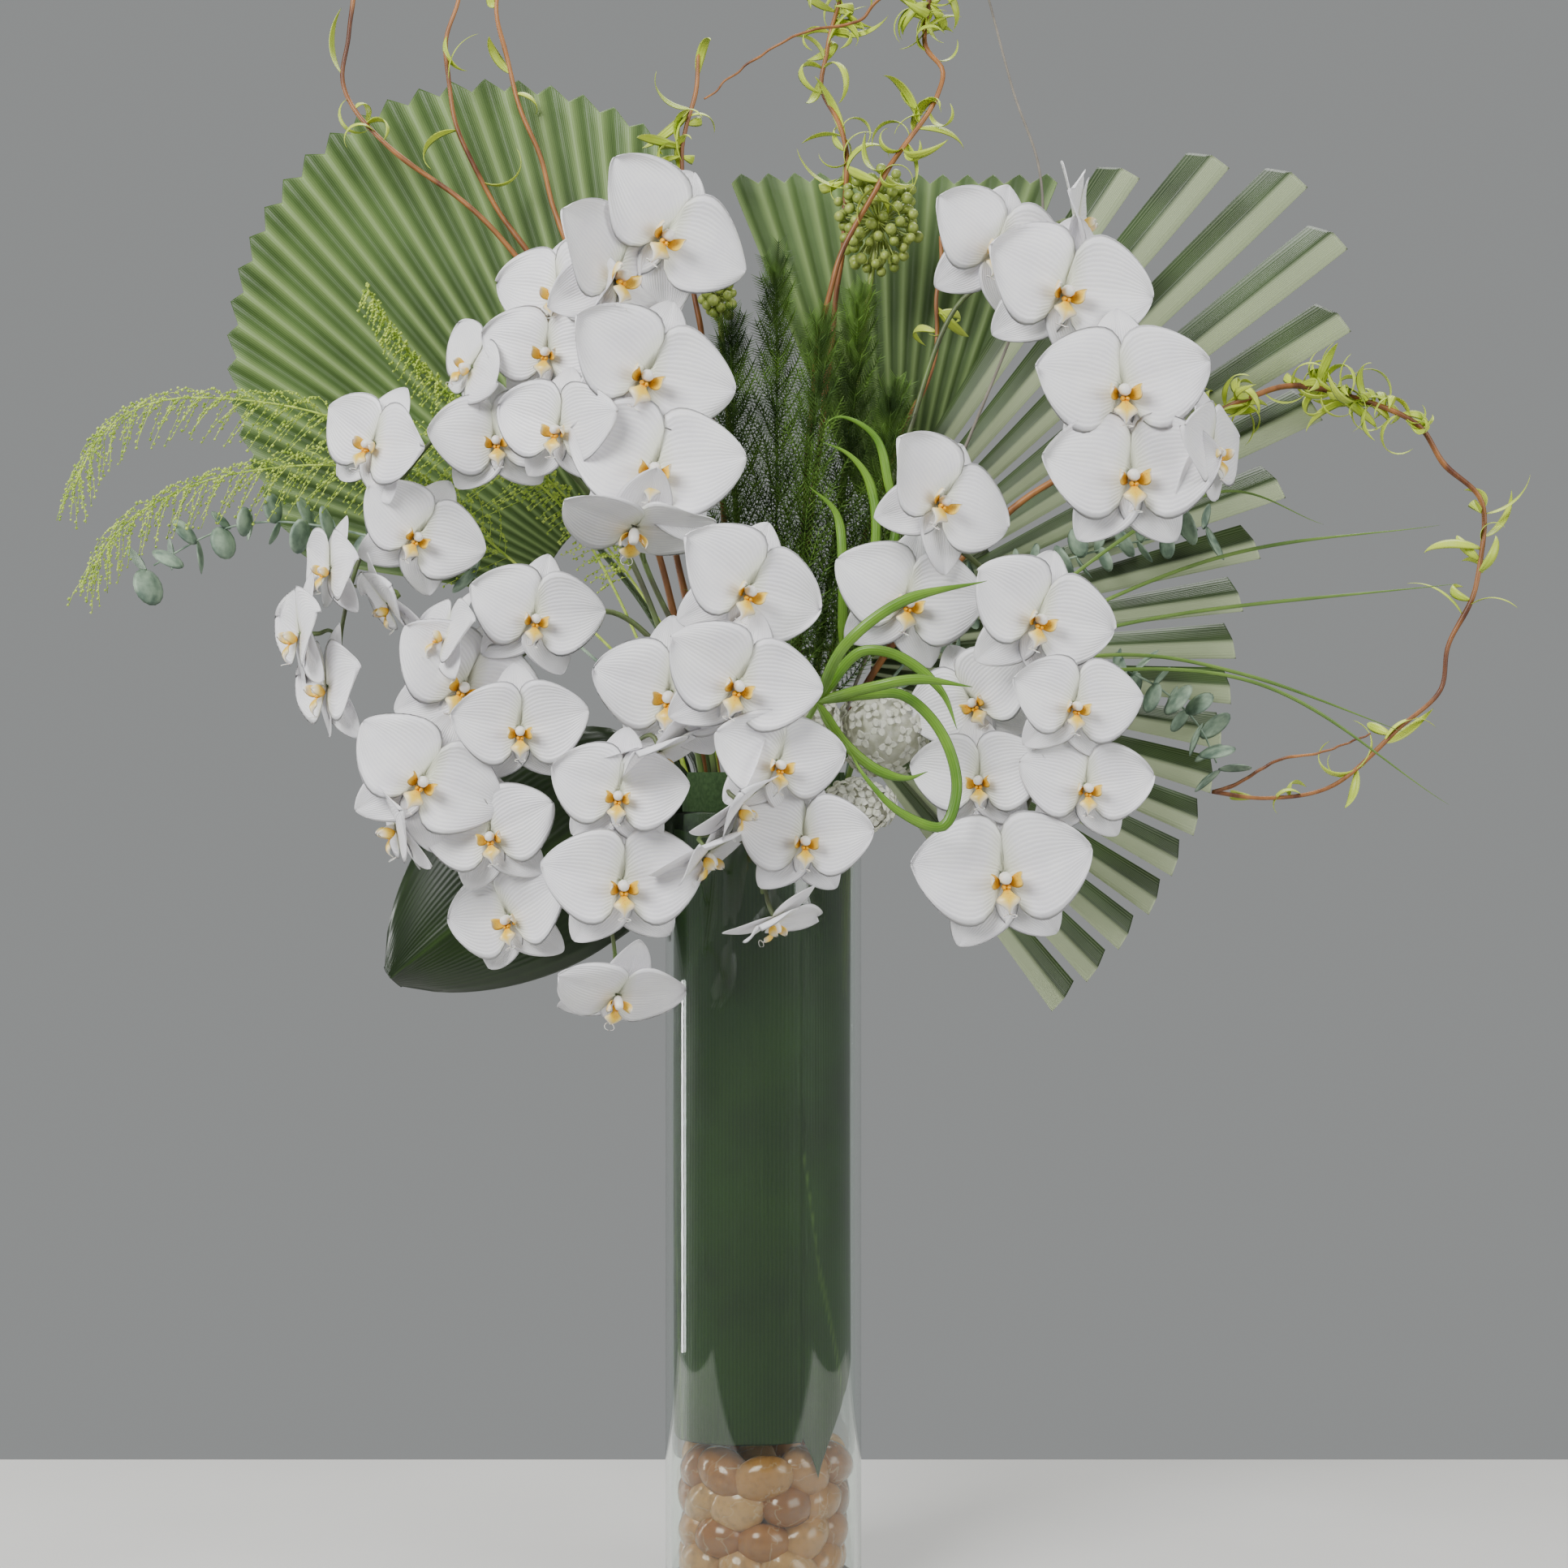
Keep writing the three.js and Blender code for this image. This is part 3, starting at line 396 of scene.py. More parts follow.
def make_studio():
    """A level camera at the height of the arrangement's middle, three soft boxes, a tall strip that the
    glass reflects as an upright highlight, and a plain grey room."""
    data = bpy.data.cameras.new("camera")
    data.lens = LENS
    camera = bpy.data.objects.new("camera", data)
    camera.location = EYE
    camera.rotation_euler = (np.pi / 2, 0, 0)
    bpy.context.scene.collection.objects.link(camera)
    bpy.context.scene.camera = camera
    middle = (0, 0, 0.75)
    soft_box("key_light", (-1.5, -2.2, 2.3), middle, 1.5, 1.5, 125)
    soft_box("fill_light", (2.3, -1.6, 1.3), middle, 1.8, 1.8, 50)
    soft_box("top_light", (0.3, 0.9, 2.8), middle, 1.5, 1.5, 45)
    soft_box("strip_light", (-1.9, 0.6, 0.55), (0, 0, 0.45), 0.12, 1.5, 16)
    world = bpy.data.worlds.new("studio")
    world.use_nodes = True
    world.node_tree.nodes["Background"].inputs["Color"].default_value = linear("A0A2A2")
    world.node_tree.nodes["Background"].inputs["Strength"].default_value = 0.8
    bpy.context.scene.world = world


def make_floor():
    floor = Mesh()
    v, u = uv_grid(2, 2)
    across = FLOOR_HALF_WIDTH * (2 * u - 1)
    depth = FLOOR_FRONT + (FLOOR_BACK - FLOOR_FRONT) * v
    floor.grid(np.stack([across, depth, 0 * u - FLOOR_DROP], axis=-1))
    made = floor.build("floor", [mottled("painted_table_top", "CFCECA", "D6D5D1", 0.55, 0.4, 0.0001)])


# ---- The vase and what stands in it ----

VASE_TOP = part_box("glass_vase")[1]
VASE_RADIUS = VASE_TOP[0]
VASE_HEIGHT = VASE_TOP[2]
GLASS_WALL = 0.005
GLASS_BASE = 0.015
GLASS_EDGE = 0.0015
WELL_EDGE = 0.006  # the rounding where the inner wall meets the floor
INNER_RADIUS = VASE_RADIUS - GLASS_WALL


def lathe(mesh, profile, sides):
    """Carries (radius, height) points once round the Z axis."""
    profile = np.asarray(profile, float)
    turn = np.linspace(0, TAU, sides + 1)
    radius, height = profile[:, :1], profile[:, 1:]
    across, depth = radius * np.cos(turn), radius * np.sin(turn)
    mesh.grid(np.stack([across, depth, np.broadcast_to(height, across.shape)], axis=-1))


def make_vase():
    """Out along the foot, round a quarter circle, up the wall, over the rim's half circle, down inside and
    round a wider quarter circle to the middle of the well."""
    quarter = np.linspace(0, np.pi / 2, 7)
    half_turn = np.linspace(0, np.pi, 15)
    edge, wall = GLASS_EDGE, GLASS_WALL / 2
    foot = [VASE_RADIUS - edge + edge * np.sin(quarter), edge - edge * np.cos(quarter)]
    side = [np.full(10, VASE_RADIUS), np.linspace(0.01, VASE_HEIGHT - 0.01, 10)]
    rim = [VASE_RADIUS - wall + wall * np.cos(half_turn), VASE_HEIGHT - wall + wall * np.sin(half_turn)]
    inside = [np.full(10, INNER_RADIUS), np.linspace(VASE_HEIGHT - 0.01, GLASS_BASE + 0.01, 10)]
    well = [INNER_RADIUS - WELL_EDGE + WELL_EDGE * np.cos(quarter),
            GLASS_BASE + WELL_EDGE - WELL_EDGE * np.sin(quarter)]
    outline = [[[0], [0]], foot, side, rim, inside, well, [[0], [GLASS_BASE]]]
    mesh = Mesh()
    lathe(mesh, np.hstack(outline).T, 160)
    finish(mesh, "glass_cylinder", [clear_glass()], "glass", "glass_vase")


PEBBLE_HALF = (0.0225, 0.0180, 0.0150)
PEBBLE_ROWS = 4
PEBBLE_STEP = 0.0245  # from one row of stones up to the next
PEBBLE_RINGS = ((0.0, 10), (0.033, 5), (0.06, 1))  # how far in each ring stands, and its stones


def make_pebbles():
    """Each stone is a sphere pushed in and out by three slow waves in its own directions, stretched to
    three half sizes, leaned along the glass and set in rings, one row on another."""
    mesh = Mesh()
    sphere = ball(13, 20)
    for row in range(PEBBLE_ROWS):
        for inset, number in PEBBLE_RINGS:
            for turn in TAU * (np.arange(number) + 0.5 * (row % 2) + rng.uniform(-0.1, 0.1, number)) / number:
                waves = np.sin(sphere @ rng.normal(0, 1.5, (3, 3)) + rng.uniform(0, TAU, 3)).sum(axis=-1)
                stone = sphere * (1 + 0.045 * waves[..., None]) * PEBBLE_HALF * rng.uniform(0.88, 1.12, 3)
                out = np.array([np.cos(turn), np.sin(turn), 0])
                lean, spin = rng.uniform(-0.6, 0.6, 2)
                along = np.cos(lean) * np.array([-out[1], out[0], 0]) + np.sin(lean) * np.array(UP)
                over = np.cross(out, along)
                second = np.cos(spin) * over + np.sin(spin) * out
                third = np.cos(spin) * out - np.sin(spin) * over
                radius = max(INNER_RADIUS - PEBBLE_HALF[2] * 1.25 - inset, 0)
                height = GLASS_BASE + 0.0185 + PEBBLE_STEP * row + rng.uniform(-0.0015, 0.0015)
                stone = stone @ np.array([along, second, third]) + radius * out + height * np.array(UP)
                mesh.grid(stone, rng.uniform(0.05, 0.95))
    finish(mesh, "river_pebbles", [river_pebble()], "pebble", "pebble_bed")


LINER_TOP = 0.596
LINER_RADIUS = INNER_RADIUS - 0.0016
LINER_STEP = 0.0018
LEAF_THICKNESS = 0.0008

# Each lining leaf's start and sweep round the vase in degrees, the heights of its tip and shoulders, the
# share of its width where the tip is, the share where its midrib reaches the top, and how far down it slants.
LINERS = {
    "liner_leaf_left": (150, 145, 0.130, 0.135, 0.4, 0.22, 0.2),
    "liner_leaf_right": (270, 125, 0.105, 0.250, 0.3, -0.12, 0.62),
    "liner_leaf_back": (20, 145, 0.120, 0.190, 0.5, 0.45, 0.2),
}


def make_lining():
    """Broad leaves wrapped inside the glass: u turns round the axis and v rises from a curved lower edge.
    Slow waves in u and v move a leaf a little off the glass, and its midrib is a shallow groove."""
    leaf = veined("aspidistra_leaf", "183103", "244706", "5C7C2A", 0.5, 60, 0.09)
    for order, (name, (start, sweep, tip, shoulder, tip_at, midrib, slant)) in enumerate(LINERS.items()):
        v, u = uv_grid(40, 61, rim=0.15)
        turn = np.radians(start + sweep * u)
        away = np.abs(u - tip_at) / max(tip_at, 1 - tip_at)
        bottom = tip + (shoulder - tip) * np.minimum(1, away) ** 0.75
        height = bottom + (LINER_TOP - bottom) * v
        rib = np.exp(-(((u - midrib - slant * (1 - v)) / 0.014) ** 2))
        radius = LINER_RADIUS - order * LINER_STEP - 0.0004 * (1 + np.sin(9 * u + 4 * v)) - 0.0006 * rib
        mesh = Mesh()
        wrapped = np.stack([radius * np.cos(turn), radius * np.sin(turn), height], axis=-1)
        mesh.sheet(wrapped, LEAF_THICKNESS, rib)
        finish(mesh, name, [leaf], "liner_leaf", name)


# ---- Orchid sprays ----

STEM_FOOT = 0.590  # the height that every stem is pushed down to in the foam
STALK = 0.060  # a bloom's own stalk, from the stem to the bloom's centre
SPRAY_STEM_RADIUS = 0.0026
PETAL_THICKNESS = 0.0006

# The four widths of open bloom, from the fullest to the last ones to open.
LARGE = 0.125
MEDIUM = 0.110
SMALL = 0.095
YOUNG = 0.080

# Each spray's stem, and its blooms. A bloom has its share of the way along the stem, its stalk's reach
# to the right and up, its width, and its turn to the right, tilt upwards and roll, in degrees.
SPRAYS = {
    "top": (
        [(-0.020, 0.005, STEM_FOOT), (-0.035, -0.005, 0.680), (-0.090, -0.055, 0.800),
         (-0.115, -0.060, 0.900),
         (-0.110, -0.045, 1.000), (-0.100, -0.030, 1.060)],
        [(0.97, 0.030, -0.005, LARGE, 25, 0, 35), (0.88, 0, 0.005, LARGE, 45, 5, 20),
         (0.86, -0.040, 0.005, SMALL, -25, 5, 0), (0.79, -0.045, -0.005, SMALL, -10, 0, 5),
         (0.75, 0.030, -0.005, LARGE, 15, 0, 25), (0.66, -0.035, 0, SMALL, -20, 0, 5),
         (0.60, 0.030, 0, LARGE, 5, 5, 10), (0.46, -0.005, 0.025, MEDIUM, 0, -60, 15)],
    ),
    "left": (
        [(-0.040, 0.010, STEM_FOOT), (-0.060, 0, 0.690), (-0.130, -0.010, 0.850), (-0.220, -0.025, 0.915),
         (-0.290, -0.040, 0.840), (-0.320, -0.045, 0.750), (-0.320, -0.045, 0.690)],
        [(0.58, -0.010, 0.030, YOUNG, -50, 10, 40), (0.60, 0.020, -0.025, SMALL, 5, 0, -5),
         (0.70, -0.020, 0.010, SMALL, -30, 5, 20), (0.74, 0.025, -0.035, SMALL, 15, -5, 30),
         (0.86, -0.005, 0.010, YOUNG, -55, 0, 10), (0.86, 0.035, -0.015, YOUNG, -70, -35, 0),
         (0.92, -0.020, 0, SMALL, -65, 0, 0), (0.98, 0, 0, SMALL, -60, 0, 0)],
    ),
    "lower_left": (
        [(-0.030, -0.030, STEM_FOOT), (-0.050, -0.050, 0.690), (-0.115, -0.080, 0.760),
         (-0.185, -0.095, 0.720), (-0.225, -0.095, 0.640), (-0.215, -0.075, 0.560)],
        [(0.48, -0.035, -0.005, SMALL, 15, 0, 10), (0.60, -0.040, -0.025, MEDIUM, 10, 0, 30),
         (0.70, 0.030, -0.020, SMALL, 5, -5, 0), (0.81, -0.020, -0.010, MEDIUM, 10, 0, 30),
         (0.66, -0.035, 0.030, YOUNG, -60, 20, 0), (0.86, -0.040, -0.020, SMALL, -75, -20, 0),
         (0.92, 0.025, 0, SMALL, -5, 0, -10), (0.99, 0.030, -0.030, SMALL, -20, -5, -15)],
    ),
    "hanging": (
        [(-0.010, -0.035, STEM_FOOT), (-0.025, -0.060, 0.680), (-0.070, -0.100, 0.730),
         (-0.105, -0.115, 0.660), (-0.115, -0.110, 0.570), (-0.110, -0.080, 0.500)],
        [(0.50, 0.025, -0.005, MEDIUM, -10, -10, 5), (0.64, 0.035, 0.010, SMALL, 60, -60, 0),
         (0.69, 0.010, 0, SMALL, 0, 0, 5), (0.83, 0.015, -0.005, MEDIUM, 10, 0, 0),
         (0.99, 0.005, -0.025, SMALL, 20, -45, 10)],
    ),
    "centre": (
        [(0.005, -0.030, STEM_FOOT), (0.010, -0.060, 0.690), (0, -0.105, 0.790), (-0.025, -0.130, 0.730),
         (-0.020, -0.130, 0.650), (-0.005, -0.115, 0.590), (0, -0.095, 0.550)],
        [(0.50, 0, -0.005, MEDIUM, 25, 0, 25), (0.66, 0.010, 0, MEDIUM, 10, -5, 20),
         (0.79, 0.030, 0.005, SMALL, 20, 0, 10), (0.82, 0, -0.010, SMALL, 80, -40, 0),
         (0.90, 0.035, 0, SMALL, 15, 0, 5), (0.92, -0.035, 0, SMALL, 70, -50, 0),
         (0.99, 0.010, -0.020, YOUNG, 60, -60, 0)],
    ),
    "upper_right": (
        [(0.025, 0, STEM_FOOT), (0.045, -0.010, 0.690), (0.105, -0.015, 0.880), (0.160, -0.015, 1.010),
         (0.225, -0.025, 1.010), (0.275, -0.045, 0.920), (0.300, -0.050, 0.860)],
        [(0.68, -0.005, 0.015, MEDIUM, 20, 0, 20), (0.72, 0.030, 0.040, SMALL, 80, 0, 0),
         (0.75, 0, -0.010, LARGE, 15, 0, 15), (0.89, -0.005, -0.005, LARGE, 5, 0, 0),
         (0.97, 0.040, 0, SMALL, 50, 0, 0), (0.99, -0.025, -0.005, LARGE, 5, 0, 0)],
    ),
    "lower_right": (
        [(0.030, -0.025, STEM_FOOT), (0.050, -0.040, 0.690), (0.095, -0.055, 0.810), (0.150, -0.070, 0.805),
         (0.200, -0.080, 0.730), (0.205, -0.075, 0.640), (0.185, -0.060, 0.575)],
        [(0.46, 0.020, 0.025, MEDIUM, 30, 5, 35), (0.50, -0.025, -0.045, MEDIUM, 15, 0, 15),
         (0.64, 0.015, -0.010, MEDIUM, 20, 0, 20), (0.71, -0.045, -0.035, SMALL, -15, 0, -30),
         (0.79, 0.020, 0.005, SMALL, 15, 0, 10), (0.88, -0.045, 0, SMALL, -10, 0, -5),
         (0.90, 0.035, 0.005, SMALL, 10, 0, 5), (0.99, -0.010, -0.015, LARGE, 5, 0, -5)],
    ),
}


def placed(points, centre, size, turn, tilt, roll):
    """Points drawn one unit wide, facing +Z with +Y up: rolled clockwise, stood up to face the front,
    tilted up and turned to the right, then scaled and moved to centre."""
    a, b, c = np.radians([-roll, 90 - tilt, turn])
    rolled = np.array([[np.cos(a), -np.sin(a), 0], [np.sin(a), np.cos(a), 0], [0, 0, 1]])
    stood = np.array([[1, 0, 0], [0, np.cos(b), -np.sin(b)], [0, np.sin(b), np.cos(b)]])
    swung = np.array([[np.cos(c), -np.sin(c), 0], [np.sin(c), np.cos(c), 0], [0, 0, 1]])
    return size * points @ (swung @ stood @ rolled).T + centre


def petal(length, width, rounding, cup, arch, ruffle, angle, lean):
    """A petal on its own claw. Its half width is the width times the sine of pi times v to the power
    rounding, itself to the power 0.6. cup lifts its edges with u squared, arch bends it back with v
    squared, and ruffle waves its rim. Its rows close up towards the tip as a sine does. It leans
    forward and grows at angle degrees from +X."""
    v, u = uv_grid(17, 15, -1.0)
    v = np.sin(np.pi * v / 2)
    half = width * np.maximum(np.sin(np.pi * v**rounding) ** 0.6, 0.14 * (1 - v) ** 3)
    x = half * u
    y = length * (v - 0.05 * np.abs(u) ** 2.2 * np.sin(np.pi * v))
    z = cup * u**2 * half - arch * v**2 + ruffle * u**2 * v * np.sin(5.2 * v + 2.6 * u + angle)
    z = z - 0.012 * np.exp(-((u / 0.12) ** 2)) * (1 - 0.7 * v)
    lean, turn = np.radians([lean, angle - 90])
    y, z = y * np.cos(lean) - z * np.sin(lean), y * np.sin(lean) + z * np.cos(lean)
    return np.stack([x * np.cos(turn) - y * np.sin(turn), x * np.sin(turn) + y * np.cos(turn), z], axis=-1), v


# A sepal and a petal, as shares of the bloom's width, and where they grow, in degrees.
SEPAL_LENGTH = 0.5
SEPAL_WIDTH = 0.195
SEPAL_ANGLES = (90, 231, 309)
PETAL_LENGTH = 0.54
PETAL_WIDTH = 0.32
PETAL_SPREAD = 76  # from straight up to each broad petal
PETAL_FORWARDS = 0.02  # of the broad petals, in front of the sepals


def bloom(mesh, place):
    """Three narrow sepals, two broad petals in front of them, then the lip and the column. place puts a
    shape drawn one unit wide where the bloom is."""
    vary = lambda spread: rng.uniform(-spread, spread)
    for angle in SEPAL_ANGLES:
        shape, v = petal(SEPAL_LENGTH, SEPAL_WIDTH, 0.84 + vary(0.04), 0.06 + vary(0.08),
                         0.05 + vary(0.03), 0.012,
                         angle + vary(5), -6 + vary(4))
        mesh.sheet(place(shape), PETAL_THICKNESS, v)
    for side in (1, -1):
        shape, v = petal(PETAL_LENGTH, PETAL_WIDTH + vary(0.015), 0.74 + vary(0.03),
                         0.1 + vary(0.12), 0.06 + vary(0.05),
                         0.042 + vary(0.014), 90 - side * (PETAL_SPREAD + vary(4)), 8 + vary(5))
        shape[..., 2] += PETAL_FORWARDS
        mesh.sheet(place(shape), PETAL_THICKNESS, v)
    lip(mesh, place)


def lip(mesh, place):
    """Two ear-shaped side lobes that curve up and in, an arrow-shaped middle lobe that hangs forward, its
    two curling threads, the two-toothed callus and the hooded column."""
    v, u = uv_grid(9, 7, -1.0)
    lobe = 0.052 * np.sin(np.pi * np.clip(v, 0.02, 0.99) ** 0.8) ** 0.6
    for side in (1, -1):
        x = side * (0.026 + 0.078 * np.sin(1.95 * v) - 0.02 * v**2) + 0 * u
        y = -0.05 + 0.9 * lobe * u + 0.03 * v
        z = 0.035 + 0.13 * v + 0.015 * u**2
        mesh.sheet(place(np.stack([x, y, z], axis=-1)), PETAL_THICKNESS, 0.25 + 0.55 * v, 1)
    v, u = uv_grid(13, 9, -1.0)
    arrow = (0.018 + 0.06 * np.exp(-(((v - 0.55) / 0.2) ** 2))) * (1 - v**6)
    x, y = arrow * u, -0.06 - 0.15 * v - 0.03 * v**2
    z = 0.05 + 0.1 * np.sin(0.8 * np.pi * v) - 0.35 * arrow * u**2
    tone = 0.12 + 0.65 * v**0.8 + 0.2 * np.abs(u)
    mesh.sheet(place(np.stack([x, y, z], axis=-1)), PETAL_THICKNESS, tone, 1)
    t = np.linspace(0, 1, 9)
    size = np.linalg.norm(place(np.array([1.0, 0, 0])) - place(np.zeros(3)))
    hood = 0.034 * np.sqrt(np.maximum(1 - ((t - 0.55) / 0.56) ** 2, 0.0004)) + 0.004
    column = np.stack([0 * t, -0.012 - 0.02 * t, 0.02 + 0.115 * t], axis=1)
    mesh.tube(place(column), size * hood, 10, UP, 0.95, 1)
    for side in (1, -1):
        tooth = np.stack([side * 0.014 + 0 * t, -0.07 - 0.012 * t, 0.06 + 0.055 * t], axis=1)
        swell = np.sqrt(np.maximum(1 - (2 * t - 1) ** 2, 0.001))
        mesh.tube(place(tooth), size * 0.016 * swell, 6, UP, 0.3, 1)
        bend = np.radians(200 * t)
        thread = np.stack([side * (0.006 + 0.035 * np.sin(0.9 * bend)), -0.235 - 0.02 * t,
                           0.1 + 0.03 * (1 - np.cos(bend))], axis=1)
        mesh.tube(place(thread), size * 0.0045 * (1 - 0.7 * t), 4, UP, 0.9, 1)


def make_sprays():
    """Each spray is its tapering stem and, for each bloom, a stalk that leaves the stem and bends into the
    back of the bloom."""
    stem_green = mottled("orchid_stem", "4A4A38", "63793F", 0.5, 0.03)
    finishes = [orchid_petal(), orchid_lip(), stem_green]
    for name, (route, blooms) in SPRAYS.items():
        mesh = Mesh()
        stem = curve(route, 401)
        mesh.tube(stem[::5], np.linspace(SPRAY_STEM_RADIUS, 0.0015, 81), 10, slot=2)
        for share, across, rise, width, turn, tilt, roll in blooms:
            start = stem[round(share * 400)]
            centre = start + (across, -np.sqrt(STALK**2 - across**2 - rise**2), rise)
            place = lambda points: placed(points, centre, width, turn, tilt, roll)
            bloom(mesh, place)
            behind, inside = place(np.array([[0, 0, -0.12], [0, 0, 0.02]]))
            stalk = curve([start, (start + behind) / 2 + (0, 0, 0.004), behind, inside], 14)
            mesh.tube(stalk, np.linspace(0.0012, 0.0019, 14), 7, UP, slot=2)
        finish(mesh, "spray_" + name, finishes, "petal", "orchid_spray_" + name)


# ---- Palm fans ----

PALM_THICKNESS = 0.0008
PLEAT_DEPTH = 0.009  # of a pleat, as a share of the distance from the hub
FINGER_FOLD = 0.035  # how far a finger's middle stands forward, as a share of that distance


def polar(hub, angle, distance, forwards=0.0):
    """The place at an angle in degrees and a distance from the hub, forwards of the fan's own plane."""
    x = hub[0] + distance * np.cos(np.radians(angle))
    z = hub[2] + distance * np.sin(np.radians(angle))
    return np.stack(np.broadcast_arrays(x, hub[1] - forwards, z), axis=-1)


def pleated_fan(hub, first, last, pleats, inner, outer, stalk, material, name):
    """A fan pleated all the way and trimmed round: v runs out from inner to outer(angle), the pleats are a
    triangle wave in u as deep as a share of the distance, and each pleat ends in a blunt tooth."""
    v, u = uv_grid(34, 8 * pleats + 1, rim=0.15)
    angle = first + (last - first) * u
    wave = np.abs((u * pleats) % 1 - 0.5) * 4 - 1
    distance = inner + (outer(angle) * (1 - 0.014 * (1 + wave)) - inner) * v
    drift = 0.004 * v * np.sin(7 * u + 3 * v)
    mesh = Mesh()
    forwards = wave * PLEAT_DEPTH * distance + drift
    mesh.sheet(polar(hub, angle, distance, forwards), PALM_THICKNESS, (1 + wave) / 2)
    middle = polar(hub, (first + last) / 2, inner + 0.03)
    mesh.tube(curve([*stalk, hub, middle], 40), np.linspace(0.0036, 0.0022, 40), 8)
    finish(mesh, name, [material], "palm_leaf", name)


def make_pleated_fans():
    """Chamaerops palm leaf, trimmed round: satin sage green with paler ridges and close fine veins."""
    palm = veined("trimmed_palm_leaf", "344C1C", "4C6630", "839C5C", 0.5, 380, 0.08)
    pleated_fan((-0.090, 0.060, 0.765), 86, 171, 26, 0.090,
                lambda angle: 0.300 + 0.165 * np.cos(np.radians(1.9 * (angle - 120))),
                [(-0.040, 0.040, STEM_FOOT), (-0.050, 0.050, 0.680)], palm, "palm_fan_left")
    pleated_fan((0.105, 0.090, 0.790), 68, 112, 13, 0.080, lambda angle: 0.335 / np.sin(np.radians(angle)),
                [(0.010, 0.050, STEM_FOOT), (0.030, 0.075, 0.680)], palm, "palm_fan_back")


FINGERS = 19
FINGER_FIRST = -54
FINGER_LAST = 60
FINGER_GAP = 0.2  # of each finger's share of the turn
FINGER_HUB = (0.025, 0.040, 0.730)
FINGER_INNER = 0.060
FINGER_SPLIT = 0.175  # the distance from the hub where the fingers part


def make_split_fan():
    """A fan of fingers, each folded along its middle and cut square at its end. Between two fingers the
    sheet folds back, out as far as the split. Light and shade are painted on: one face of each fold is
    painted lighter as if lit, and the other is left dark as if shaded."""
    pitch = (FINGER_LAST - FINGER_FIRST) / FINGERS
    half = pitch * (1 - FINGER_GAP) / 2
    middle = FINGER_FIRST + half + pitch * np.arange(FINGERS)[:, None, None]
    reach = 0.340 + 0.205 * np.exp(-(((middle - 42) / 20) ** 2))
    v, u = uv_grid(26, 11, -1.0, 0.15)
    taper = 1 - 0.25 * v**3 * (reach - 0.340) / 0.205
    distance = FINGER_INNER + (reach * (1 - 0.012 * u) - FINGER_INNER) * v
    ridge = (1 - np.abs(u)) * FINGER_FOLD * distance
    drift = 0.006 * v**2 * np.sin(1.7 * middle + 2 * v)
    mesh = Mesh()
    # Painted light and shade: tone 1 on one face of each fold, which the leaf material paints lighter as if
    # lit, and tone 0 on the other face, left dark as if shaded.
    painted_fold_shading = np.broadcast_to(0.5 - 0.5 * np.sign(u) * np.minimum(1, 6 * np.abs(u)), distance.shape)
    mesh.sheet(polar(FINGER_HUB, middle + half * taper * u, distance, ridge + drift), PALM_THICKNESS, painted_fold_shading)
    v, u = uv_grid(8, 5)
    between = middle[:-1] + half + (pitch - 2 * half) * u
    near = FINGER_INNER + (FINGER_SPLIT - FINGER_INNER) * v
    mesh.sheet(polar(FINGER_HUB, between, near, -0.01 * near * np.sin(np.pi * u)), PALM_THICKNESS, 0.5)
    stalk = [(0.035, 0.045, STEM_FOOT), (0.040, 0.045, 0.660), FINGER_HUB, polar(FINGER_HUB, 5, 0.090)]
    mesh.tube(curve(stalk, 40), np.linspace(0.004, 0.0024, 40), 8)
    # The light green D2E0B4 is also the painted lit face of each fold, and the darker greens show on the face
    # painted as shaded.
    finger = veined("livistona_palm_leaf", "1E300C", "2E4616", "D2E0B4", 0.45, 26, 0.06)
    finish(mesh, "palm_fan_right", [finger], "palm_leaf", "palm_fan_right")


# ---- Broad leaves and grasses ----


def make_collar_leaves():
    """Broad leaves cupped along their length: half width is the sine of pi times v to the power 0.8,
    itself to the power 0.6, and the edges stand back with u squared and wave slowly."""
    leaf = veined("dark_aspidistra_leaf", "0F1E07", "1E300E", "36501E", 0.3, 34, 0.06)
    for name, base, tip, half_width, cup, stalk in (
        ("collar_leaf_left", (-0.075, -0.020, 0.650), (-0.290, 0.005, 0.480), 0.085, 0.12,
         [(-0.050, -0.015, STEM_FOOT), (-0.055, -0.020, 0.630)]),
        ("collar_leaf_middle", (-0.080, 0.055, 0.670), (-0.125, 0.060, 0.505), 0.040, 0.15,
         [(-0.050, 0.030, STEM_FOOT), (-0.055, 0.035, 0.650)]),
    ):
        base, tip = np.array(base), np.array(tip)
        side = unit(np.cross(tip - base, BACK))
        v, u = uv_grid(30, 21, -1.0, 0.15)
        half = half_width * np.maximum(np.sin(np.pi * v**0.8), 0.03) ** 0.6
        points = base + v[..., None] * (tip - base) + (half * u)[..., None] * side
        groove = 0.002 * np.exp(-((u / 0.06) ** 2))
        points[..., 1] += cup * half_width * u**2 + 0.003 * np.sin(6 * v + 2 * u) - groove
        mesh = Mesh()
        mesh.sheet(points, PALM_THICKNESS, 0.8 * np.exp(-((u / 0.05) ** 2)))
        mesh.tube(curve([*stalk, base, base + 0.12 * (tip - base)], 24), 0.0025)
        finish(mesh, name, [leaf], "dark_leaf", name)


GRASS_THICKNESS = 0.0006

